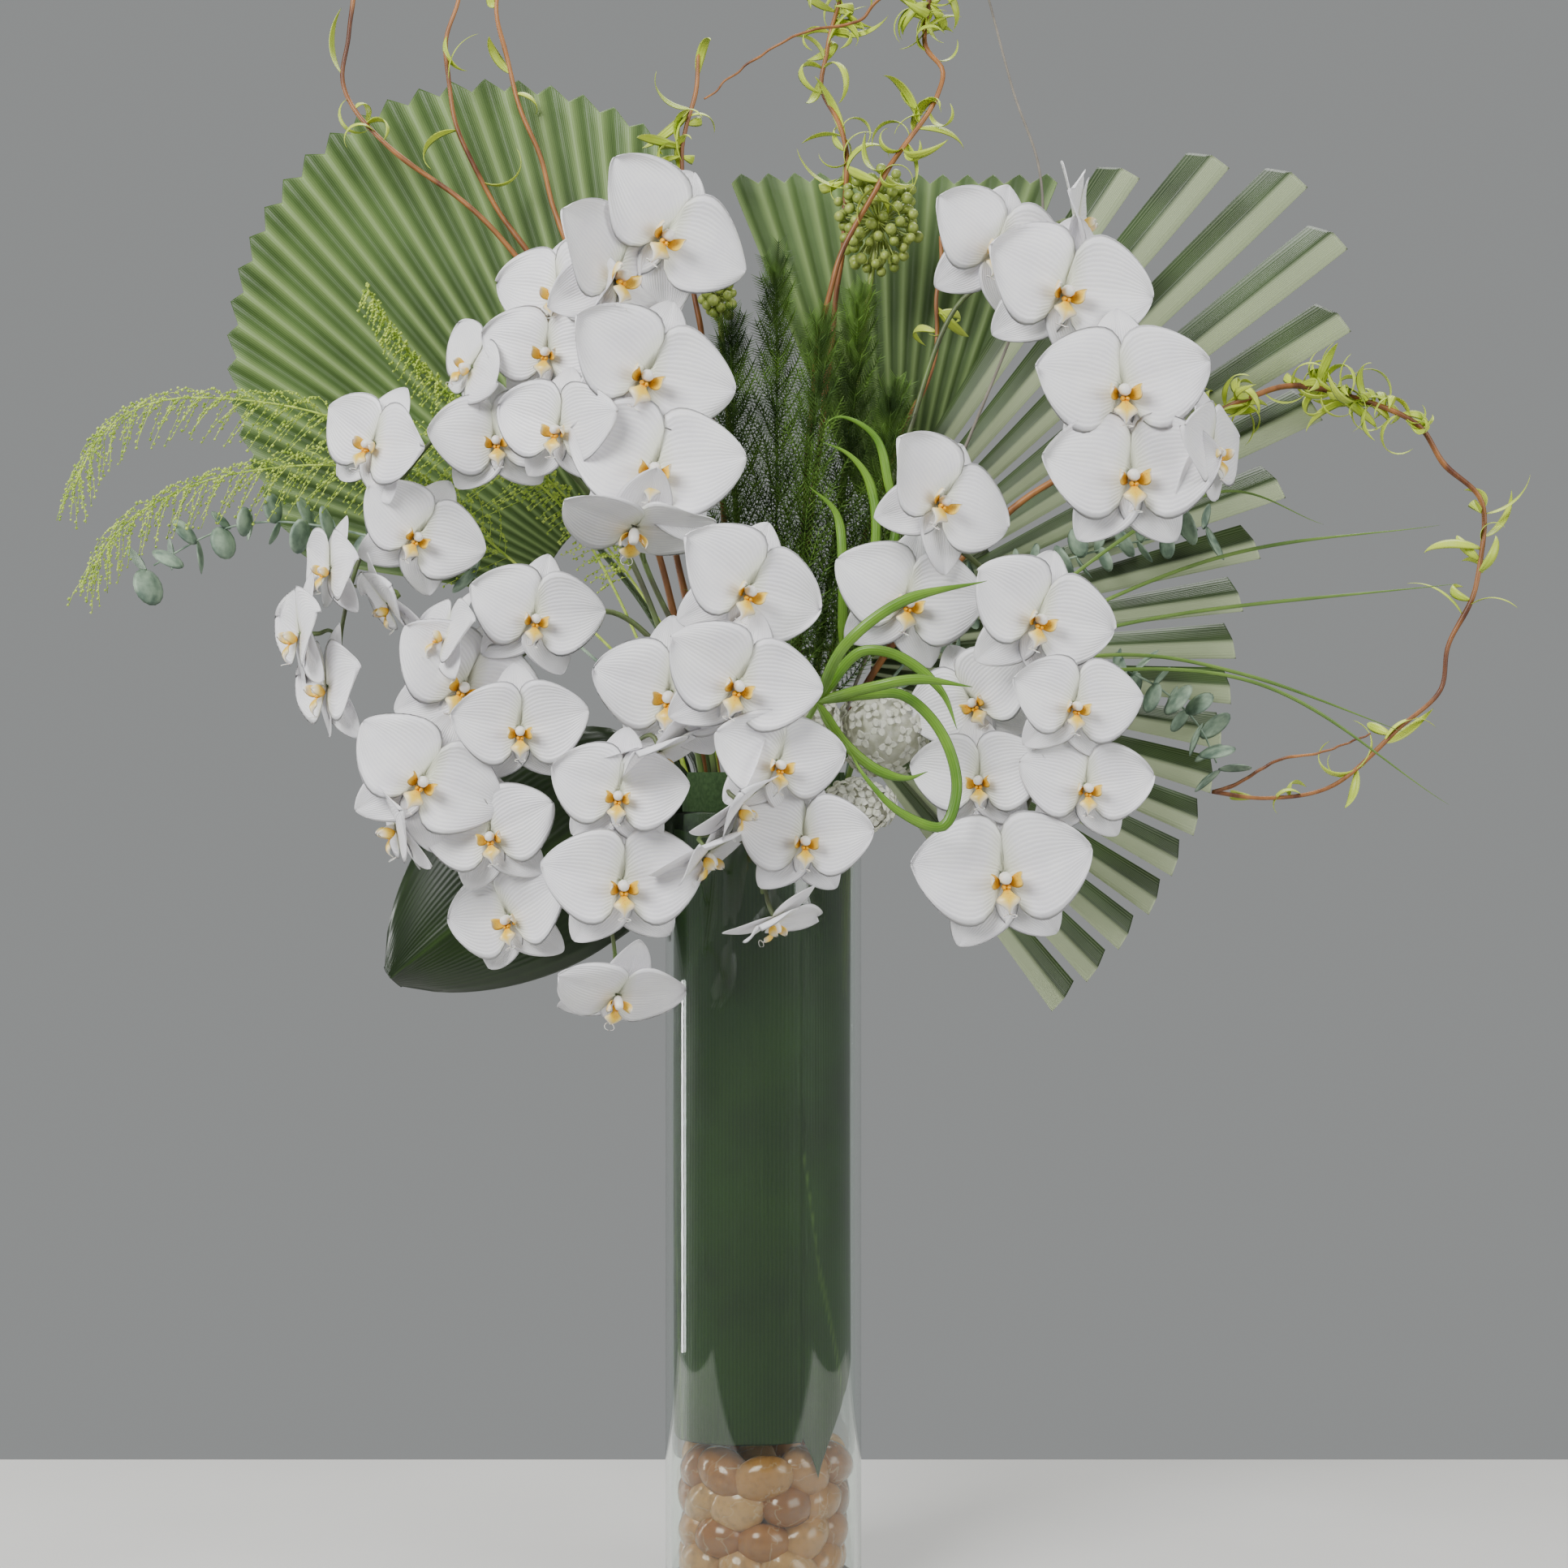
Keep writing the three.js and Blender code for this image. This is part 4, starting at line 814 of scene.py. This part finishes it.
# Each tuft's blade width, its stalk, and its blades, which spring from the top of the stalk.
TUFTS = {
    "lily_grass_upper": (0.008,
        [(0.020, -0.010, STEM_FOOT), (0.040, -0.025, 0.660), (0.060, -0.040, 0.735)], [
        [(0.100, -0.045, 0.820), (0.095, -0.045, 0.860), (0.085, -0.045, 0.895), (0.060, -0.045, 0.910),
         (0.045, -0.045, 0.905)],
        [(0.125, -0.040, 0.815), (0.130, -0.040, 0.855), (0.110, -0.040, 0.885), (0.100, -0.040, 0.890)],
        [(0.085, -0.055, 0.810), (0.080, -0.055, 0.860), (0.065, -0.055, 0.880), (0.045, -0.055, 0.890)],
        [(0.060, -0.065, 0.790), (0.055, -0.065, 0.835), (0.035, -0.065, 0.855)],
    ]),
    "lily_grass_lower": (0.008,
        [(0.010, -0.055, STEM_FOOT), (0.015, -0.070, 0.640), (0.040, -0.140, 0.690)], [
        [(0.070, -0.165, 0.725), (0.090, -0.170, 0.725), (0.110, -0.170, 0.715), (0.130, -0.170, 0.695),
         (0.140, -0.170, 0.670)],
        [(0.080, -0.180, 0.700), (0.110, -0.185, 0.705), (0.150, -0.185, 0.700)],
        [(0.075, -0.160, 0.695), (0.100, -0.160, 0.695), (0.120, -0.160, 0.680), (0.135, -0.160, 0.655),
         (0.140, -0.160, 0.625), (0.130, -0.160, 0.600), (0.100, -0.160, 0.610), (0.075, -0.160, 0.635),
         (0.060, -0.155, 0.660)],
        [(0.060, -0.145, 0.660), (0.085, -0.150, 0.640), (0.105, -0.150, 0.635), (0.120, -0.150, 0.640)],
        [(0.060, -0.190, 0.730), (0.100, -0.195, 0.760), (0.160, -0.190, 0.775)],
    ]),
    "bear_grass": (0.003, [(0.055, -0.020, STEM_FOOT), (0.075, -0.025, 0.660), (0.130, -0.030, 0.710)], [
        [(0.350, -0.025, 0.855), (0.430, -0.025, 0.830)],
        [(0.350, -0.020, 0.805), (0.520, -0.020, 0.830)],
        [(0.285, -0.030, 0.755), (0.535, -0.025, 0.785)],
        [(0.280, -0.025, 0.730), (0.370, -0.020, 0.715), (0.495, -0.020, 0.670)],
        [(0.370, -0.035, 0.710), (0.525, -0.030, 0.615)],
    ]),
}
REED = [(0.045, 0.005, STEM_FOOT), (0.065, 0.010, 0.690), (0.160, 0.010, 0.900), (0.215, 0.010, 1.050),
        (0.215, 0.010, 1.110), (0.195, 0.010, 1.170), (0.175, 0.010, 1.245), (0.160, 0.010, 1.300)]


def make_grasses():
    """Each blade is a ribbon along its route, folded to a shallow V and tapering over its last third."""
    striped = veined("lily_grass_blade", "4C7A20", "6F9A30", "B9CF62", 0.35, 5, 0.04)
    fine = veined("bear_grass_blade", "4E6E2C", "6F8E3E", "A8BE70", 0.4, 3, 0.04)
    for name, (width, stalk, blades) in TUFTS.items():
        mesh = Mesh()
        mesh.tube(curve(stalk, 30), 0.0022)
        for reach in blades:
            path = curve([stalk[-1], *reach], 60)
            share = np.linspace(0, 1, 60)
            tapered = width * np.minimum(1, 3.2 * (1 - share) + 0.05) * np.minimum(1, 0.5 + 4 * share)
            _, side, _ = directions(path, (0.15, 1, 0.35))
            mesh.sheet(ribbon(path, tapered, side, 7, 0.3), GRASS_THICKNESS)
        finish(mesh, name, [fine if name == "bear_grass" else striped], "grass_blade", name)
    mesh = Mesh()
    mesh.tube(curve(REED, 80), np.linspace(0.0016, 0.0008, 80), 6)
    finish(mesh, "reed", [mottled("dried_reed", "6E6860", "8E867A", 0.8, 0.02)], "grass_blade", "reed_blade")


# ---- Curly willow ----

WILLOW_RADIUS = 0.003
SHOOT_RADIUS = 0.0015

WILLOWS = {
    "willow_left_outer": [
        (-0.040, 0.020, STEM_FOOT), (-0.055, 0.025, 0.690), (-0.110, 0.020, 0.900), (-0.190, 0.015, 1.040),
        (-0.240, 0.015, 1.090), (-0.295, 0.015, 1.130), (-0.320, 0.020, 1.160), (-0.330, 0.020, 1.185),
        (-0.325, 0.020, 1.220), (-0.320, 0.020, 1.255), (-0.335, 0.020, 1.290), (-0.325, 0.020, 1.325)],
    "willow_left_inner": [
        (-0.030, 0.030, STEM_FOOT), (-0.045, 0.035, 0.690), (-0.095, 0.030, 0.900), (-0.180, 0.030, 1.040),
        (-0.210, 0.030, 1.085), (-0.230, 0.030, 1.120), (-0.245, 0.030, 1.165), (-0.250, 0.030, 1.210),
        (-0.240, 0.030, 1.250), (-0.250, 0.030, 1.300)],
    "willow_left_high": [
        (-0.015, 0.040, STEM_FOOT), (-0.030, 0.050, 0.690), (-0.085, 0.045, 0.900), (-0.155, 0.040, 1.055),
        (-0.165, 0.040, 1.085), (-0.175, 0.040, 1.120), (-0.190, 0.040, 1.160), (-0.205, 0.040, 1.210),
        (-0.210, 0.040, 1.250), (-0.195, 0.040, 1.315)],
    "willow_short": [
        (-0.010, 0.025, STEM_FOOT), (-0.015, 0.030, 0.700), (-0.045, 0.030, 0.950), (-0.065, 0.025, 1.120),
        (-0.060, 0.025, 1.145), (-0.055, 0.025, 1.170), (-0.050, 0.025, 1.205)],
    "willow_centre_left": [
        (0.010, 0.035, STEM_FOOT), (0.020, 0.040, 0.700), (0.050, 0.040, 0.950), (0.065, 0.030, 1.105),
        (0.060, 0.030, 1.150), (0.045, 0.030, 1.180), (0.050, 0.030, 1.210), (0.060, 0.030, 1.250),
        (0.050, 0.030, 1.300)],
    "willow_centre_right": [
        (0.015, 0.020, STEM_FOOT), (0.025, 0.020, 0.700), (0.040, 0.005, 0.950), (0.055, -0.010, 1.025),
        (0.070, -0.010, 1.060), (0.090, -0.015, 1.095), (0.110, -0.010, 1.125), (0.135, -0.005, 1.165),
        (0.140, 0, 1.185), (0.125, 0, 1.205), (0.130, 0, 1.245), (0.140, 0, 1.290), (0.135, 0, 1.335)],
    "willow_right_short": [
        (0.025, 0.040, STEM_FOOT), (0.045, 0.035, 0.700), (0.105, 0.025, 0.900), (0.125, 0.020, 0.940),
        (0.135, 0.020, 0.965), (0.135, 0.020, 0.990), (0.140, 0.020, 1.060)],
    "willow_loop_right": [
        (0.045, 0.020, STEM_FOOT), (0.070, 0.020, 0.690), (0.200, 0.010, 0.850), (0.340, 0.005, 0.915),
        (0.375, 0, 0.930), (0.410, 0, 0.940), (0.460, 0, 0.930), (0.510, 0.005, 0.910), (0.530, 0.010, 0.880),
        (0.560, 0.010, 0.850), (0.555, 0.010, 0.785), (0.535, 0.015, 0.740), (0.530, 0.015, 0.705),
        (0.495, 0.010, 0.675), (0.445, 0.010, 0.630), (0.390, 0.005, 0.620), (0.350, 0.005, 0.625)],
}
SHOOTS = {
    "willow_centre_right": [
        (0.135, 0, 1.260), (0.090, 0, 1.240), (0.075, 0.005, 1.225), (0.030, 0.005, 1.215),
        (-0.015, 0.010, 1.190), (-0.045, 0.010, 1.165)],
    "willow_loop_right": [
        (0.350, 0.005, 0.625), (0.365, 0, 0.630), (0.400, -0.005, 0.650), (0.430, -0.005, 0.655),
        (0.470, -0.010, 0.670)],
}

# Where each branch carries leaves: the first and last share of its length, and how many.
WILLOW_LEAVES = {
    "willow_left_outer": [(0.72, 0.98, 5)],
    "willow_left_inner": [(0.72, 0.98, 5)],
    "willow_left_high": [(0.80, 0.98, 4)],
    "willow_short": [(0.84, 0.99, 14)],
    "willow_centre_left": [(0.70, 0.78, 12), (0.84, 0.98, 26)],
    "willow_centre_right": [(0.64, 0.76, 20), (0.82, 0.99, 40)],
    "willow_right_short": [(0.85, 0.99, 4)],
    "willow_loop_right": [(0.42, 0.48, 26), (0.50, 0.60, 44), (0.62, 0.76, 12), (0.84, 0.98, 10)],
}
WILLOW_LEAF_LENGTH = (0.030, 0.062)
WILLOW_LEAF_WIDTH = 0.0078


def branch(mesh, route, radius):
    """A branch whose radius falls by half to its tip and swells a little at each bud."""
    count = 14 * len(route)
    share = np.linspace(0, 1, count)
    buds = 1 + 0.16 * np.maximum(0, np.sin(share * 2.2 * count / 10)) ** 8
    path = curve(route, count) + 0.0012 * np.sin(share[:, None] * (61, 47, 0)) * share[:, None]
    mesh.tube(path, radius * (1 - 0.5 * share) * buds, 8, (0.1, 1, 0))
    return path


def make_willows():
    """Each leaf is a ribbon along an arc that curls over, widest near its middle."""
    bark = mottled("curly_willow_bark", "5A3018", "A8703C", 0.45, 0.016, 0.0003, (1, 1, 0.35))
    leaf = veined("willow_leaf", "A9BF30", "C6D83E", "DDE87A", 0.45, 3, 0.03, 0.1)
    for name, route in WILLOWS.items():
        mesh = Mesh()
        path = branch(mesh, route, WILLOW_RADIUS)
        for first, last, number in WILLOW_LEAVES[name]:
            at = path[(rng.uniform(first, last, number) * (len(path) - 1)).astype(int)]
            heading = unit(random_directions(number) * (1, 0.35, 0.8) + (0, 0, 0.25))
            bend = unit(np.cross(heading, np.cross(heading, random_directions(number))))
            length = rng.uniform(*WILLOW_LEAF_LENGTH, number)
            spine = curled(at, heading, bend, length, rng.uniform(1.2, 4.2, number), 14)
            side = np.cross(heading, bend)[:, None, :]
            width = WILLOW_LEAF_WIDTH * np.sin(np.pi * np.linspace(0.02, 0.99, 14) ** 0.8)
            mesh.sheet(ribbon(spine, width, side, 5, 0.15), 0.0004, 0.0, 1)
        if name in SHOOTS:
            branch(mesh, SHOOTS[name], SHOOT_RADIUS)
        finish(mesh, name, [bark, leaf], "willow_bark", name)


# ---- Filler flowers and foliage ----

# Each head's centre, its half sizes and its stem's route.
HYDRANGEAS = {
    "hydrangea_large": ((0.090, -0.070, 0.670), (0.035, 0.030, 0.035),
        [(0.040, -0.040, STEM_FOOT), (0.050, -0.045, 0.640)]),
    "hydrangea_left": ((0.040, -0.090, 0.670), (0.018, 0.025, 0.035),
        [(0.020, -0.045, STEM_FOOT), (0.025, -0.050, 0.640)]),
    "hydrangea_lower": ((0.070, -0.110, 0.615), (0.028, 0.024, 0.020),
        [(0.030, -0.050, STEM_FOOT), (0.035, -0.055, 0.630)]),
}
BERRIES = {
    "berry_cluster_right": ((0.090, 0.015, 1.070), (0.035, 0.018, 0.042),
        [(0.030, 0.010, STEM_FOOT), (0.040, 0.015, 0.700)]),
    "berry_cluster_left": ((-0.035, 0.005, 1.010), (0.014, 0.012, 0.018),
        [(-0.005, 0.015, STEM_FOOT), (-0.010, 0.010, 0.700)]),
}


def spread(count):
    """Even directions over a sphere, by the golden angle."""
    i = np.arange(count) + 0.5
    height = 1 - 2 * i / count
    turn = np.pi * (1 + 5**0.5) * i
    level = np.sqrt(1 - height**2)
    return np.stack([level * np.cos(turn), level * np.sin(turn), height], axis=1)


def frames(normal):
    """Two directions square to each normal and to each other."""
    side = unit(np.cross(normal, np.roll(normal, 1, axis=-1) + (0.3, 0.1, 0.2)))
    return side, np.cross(normal, side)


def make_hydrangeas():
    """Each floret has four round petals: v runs out along a petal, whose half width is the sine of pi
    times v to the power 0.7. Florets stand on a head's ellipsoid and face outwards."""
    cream = mottled("cream_hydrangea", "D3D4BE", "EEEDE2", 0.7, 0.006)
    stem = mottled("hydrangea_stem", "4C6A2C", "6C8A44", 0.6, 0.02)
    v, u = uv_grid(5, 5, -1.0)
    half = 0.42 * np.sin(np.pi * np.clip(v, 0.05, 0.97) ** 0.7) ** 0.7
    petal_points = np.stack([half * u, 0.06 + v, 0.12 * v + 0.25 * half * u**2], axis=-1)
    for name, (centre, half_sizes, route) in HYDRANGEAS.items():
        mesh = Mesh()
        out = spread(64)
        normal = unit(out / half_sizes)
        spots = np.array(centre) + out * np.array(half_sizes) * rng.uniform(0.86, 1.02, (len(out), 1))
        side, face = frames(normal)
        for quarter in range(4):
            turn = quarter * np.pi / 2 + rng.uniform(0, 0.3)
            across = np.cos(turn) * side + np.sin(turn) * face
            along = np.cos(turn) * face - np.sin(turn) * side
            axes = np.stack([across, along, normal], axis=1) * 0.0075
            mesh.sheet(np.einsum("rck,nkj->nrcj", petal_points, axes) + spots[:, None, None, :], 0.0004)
        mesh.grid(np.array(centre) + ball(9, 13) * np.array(half_sizes) * 0.86, 0.0, 0)
        mesh.tube(curve([*route, centre], 30), 0.0022, slot=1)
        finish(mesh, name, [cream, stem], "hydrangea_petal", name)


def make_berries():
    """Round berries, each on the head's ellipsoid and on a short stalk from its middle."""
    berry = mottled("green_berry", "7A8C38", "A9B85A", 0.4, 0.008, 0.0001)
    for name, (centre, half_sizes, route) in BERRIES.items():
        mesh = Mesh()
        count = 90 if half_sizes[0] > 0.02 else 26
        size = rng.uniform(0.0036, 0.0048, count)[:, None, None, None]
        spots = np.array(centre) + spread(count) * np.array(half_sizes) * rng.uniform(0.7, 1.0, (count, 1))
        mesh.grid(spots[:, None, None, :] + size * ball(7, 9))
        stalks = np.linspace(0, 1, 4)[:, None]
        mesh.tube(np.array(centre) + stalks * (spots - centre)[:, None, :], 0.0006, 4, (0.3, 1, 0.2))
        mesh.tube(curve([*route, centre], 40), 0.0022)
        finish(mesh, name, [berry], "berry", name)


FERNS = [
    [(-0.010, 0, STEM_FOOT), (-0.010, -0.005, 0.700), (-0.020, -0.005, 0.800), (-0.025, 0, 0.985)],
    [(0, 0.005, STEM_FOOT), (0.005, 0, 0.700), (0.010, -0.005, 0.830), (0.010, 0.005, 1.035)],
    [(0.010, -0.005, STEM_FOOT), (0.020, -0.020, 0.700), (0.030, -0.030, 0.800), (0.045, -0.020, 0.985)],
    [(0.020, 0.010, STEM_FOOT), (0.035, 0.005, 0.700), (0.060, 0.010, 0.830), (0.075, -0.010, 1.005)],
    [(0.035, 0.005, STEM_FOOT), (0.050, 0, 0.700), (0.085, -0.005, 0.800), (0.100, -0.010, 0.930)],
]
LIME_SPRAYS = {
    "lime_panicle_upper": [
        (-0.050, 0.010, STEM_FOOT), (-0.080, 0.010, 0.700), (-0.170, 0.005, 0.860), (-0.285, 0, 0.900),
        (-0.380, -0.010, 0.925), (-0.470, -0.015, 0.925), (-0.510, -0.015, 0.900), (-0.535, -0.015, 0.850)],
    "lime_panicle_lower": [
        (-0.045, -0.005, STEM_FOOT), (-0.080, -0.010, 0.690), (-0.190, -0.015, 0.800),
        (-0.290, -0.020, 0.870),
        (-0.400, -0.025, 0.870), (-0.460, -0.025, 0.850), (-0.495, -0.025, 0.825), (-0.520, -0.025, 0.785)],
    "lime_sprig": [
        (-0.030, 0.020, STEM_FOOT), (-0.050, 0.015, 0.700), (-0.150, 0.010, 0.850), (-0.240, 0.010, 0.930),
        (-0.285, 0.005, 0.980), (-0.310, 0, 1.020)],
}
PLUME_STEM_RADIUS = 0.0013


def side_twigs(stem, first, number, length, forward, rows=8):
    """Twigs in a spiral off a stem's stretch past the share first: each leaves at the golden angle from
    the last, leans forward along the stem and shortens towards the tip."""
    share = np.linspace(first, 0.995, number)
    tangent, side, face = (part[(share * (len(stem) - 1)).astype(int)] for part in directions(stem, BACK))
    turn = 2.4 * np.arange(number)[:, None]
    out = np.cos(turn) * side + np.sin(turn) * face
    heading = unit(out + forward * tangent)
    size = length * (1.1 - 0.8 * (share - first) / (1 - first)) * rng.uniform(0.75, 1.1, number)
    start = stem[(share * (len(stem) - 1)).astype(int)]
    return curled(start, heading, unit(tangent - 0.3 * out), size, np.full(number, 0.6), rows)


FERN_TWIGS = 105
FERN_TWIG_LENGTH = 0.056
NEEDLE_LENGTH = 0.010
LIME_TWIGS = 170
LIME_TWIG_LENGTH = 0.046
SPRIG_TWIG_LENGTH = 0.028


def stemmed(route, count, foot, tip):
    """A new mesh with a stem along the route that tapers from foot to tip, and its middle's points."""
    mesh, stem = Mesh(), curve(route, count)
    mesh.tube(stem[::4], np.linspace(foot, tip, count // 4), 6)
    return mesh, stem


def make_ferns():
    """Each plume carries twigs in a spiral, and each twig needles to both sides and above."""
    green = mottled("asparagus_fern", "2C4A14", "719A38", 0.6, 0.03)
    for i, route in enumerate(FERNS):
        mesh, stem = stemmed(route, 160, PLUME_STEM_RADIUS, 0.0007)
        twigs = side_twigs(stem, 0.3, FERN_TWIGS, FERN_TWIG_LENGTH, 0.9, 12)
        mesh.tube(twigs, 0.00035, 3, (0.3, 1, 0.2))
        tangent, side, face = directions(twigs, (0.3, 1, 0.2))
        for turn in (0.2, 2.3, 4.4):
            away = unit(np.cos(turn) * side + np.sin(turn) * face + 0.9 * tangent)
            tip = twigs + NEEDLE_LENGTH * away
            ends = np.stack([twigs, tip], axis=-2).reshape(-1, 2, 3)
            mesh.tube(ends, (0.0005, 0.0001), 3, (0.31, 0.9, 0.21))
        finish(mesh, f"fern_plume_{i + 1}", [green], "fern", f"fern_plume_{i + 1}")


def make_lime_sprays():
    """Each panicle carries drooping twigs in a spiral, strung with small seed heads."""
    lime = mottled("lime_panicle", "8FAE34", "CBE062", 0.65, 0.01)
    seed = ball(3, 5)
    for name, route in LIME_SPRAYS.items():
        mesh, stem = stemmed(route, 200, PLUME_STEM_RADIUS, 0.0006)
        length = SPRIG_TWIG_LENGTH if name == "lime_sprig" else LIME_TWIG_LENGTH
        twigs = side_twigs(stem, 0.42, LIME_TWIGS, length, 0.5, 10)
        droop = np.linspace(0, 1, 10)[:, None] ** 2 * (0, 0, -0.016)
        twigs = twigs + droop
        mesh.tube(twigs, 0.0003, 3, (0.3, 1, 0.2))
        spots = twigs[:, 2:] + rng.normal(0, 0.0009, twigs[:, 2:].shape)
        mesh.grid(spots.reshape(-1, 1, 1, 3) + rng.uniform(0.0009, 0.0016, (spots.size // 3, 1, 1, 1)) * seed)
        finish(mesh, name, [lime], "lime_foliage", name)


EUCALYPTUS = {
    "eucalyptus_right": [
        (0.055, -0.005, STEM_FOOT), (0.085, -0.010, 0.690), (0.200, -0.005, 0.730), (0.290, 0, 0.715),
        (0.335, 0, 0.680), (0.355, 0, 0.640)],
    "eucalyptus_upper": [
        (0.055, 0.015, STEM_FOOT), (0.085, 0.015, 0.690), (0.170, 0.015, 0.780), (0.250, 0.010, 0.810),
        (0.345, 0, 0.830)],
    "eucalyptus_left": [
        (-0.055, 0, STEM_FOOT), (-0.095, 0, 0.690), (-0.220, 0, 0.790), (-0.340, -0.010, 0.830),
        (-0.410, -0.010, 0.830), (-0.480, -0.010, 0.795)],
}
EUCALYPTUS_LEAF = 0.011  # half the length of a leaf


def make_eucalyptus():
    """Silver-dollar eucalyptus: round leaves in pairs. v is the distance out from a leaf's middle and u the
    turn round it, and the leaf dishes with v squared."""
    leaf = mottled("eucalyptus_leaf", "5F7566", "A3B9A0", 0.6, 0.012, 0.0001)
    v, u = uv_grid(6, 17)
    disc = np.stack([v * np.cos(TAU * u), 1 + v * np.sin(TAU * u), 0.22 * v**2], axis=-1)
    for name, route in EUCALYPTUS.items():
        mesh, stem = stemmed(route, 160, 0.0015, 0.0007)
        share = np.repeat(np.linspace(0.42, 0.99, 15), 2)
        at = (share * 159).astype(int)
        tangent, side, face = (part[at] for part in directions(stem, BACK))
        turn = (np.pi * np.arange(len(share)) + 1.1 * np.floor(np.arange(len(share)) / 2))[:, None]
        along = unit(np.cos(turn) * side + np.sin(turn) * face + 0.35 * tangent)
        normal = unit(tangent + 0.5 * random_directions(len(share)))
        across = unit(np.cross(along, normal))
        size = EUCALYPTUS_LEAF * rng.uniform(0.85, 1.4, len(share))[:, None, None]
        axes = np.stack([across, along, np.cross(across, along)], axis=1) * size
        leaves = np.einsum("rck,nkj->nrcj", disc, axes) + stem[at][:, None, None, :]
        offset = 0.00025 * np.cross(across, along)[:, None, None, :] * (1 - v**4)[..., None]
        mesh.grid(leaves + offset)
        mesh.grid(leaves - offset)
        finish(mesh, name, [leaf], "eucalyptus_leaf", name)


def make_foam():
    """Wet floral foam: matt, dull green and pitted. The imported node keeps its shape."""
    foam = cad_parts["floral_foam"]
    material = mottled("floral_foam", "35502C", "47633A", 0.95, 0.003, 0.0006)
    foam.data.materials.clear()
    foam.data.materials.append(material)


make_studio()
make_floor()
make_vase()
make_pebbles()
make_lining()
make_sprays()
make_pleated_fans()
make_split_fan()
make_collar_leaves()
make_grasses()
make_willows()
make_hydrangeas()
make_berries()
make_ferns()
make_lime_sprays()
make_eucalyptus()
make_foam()
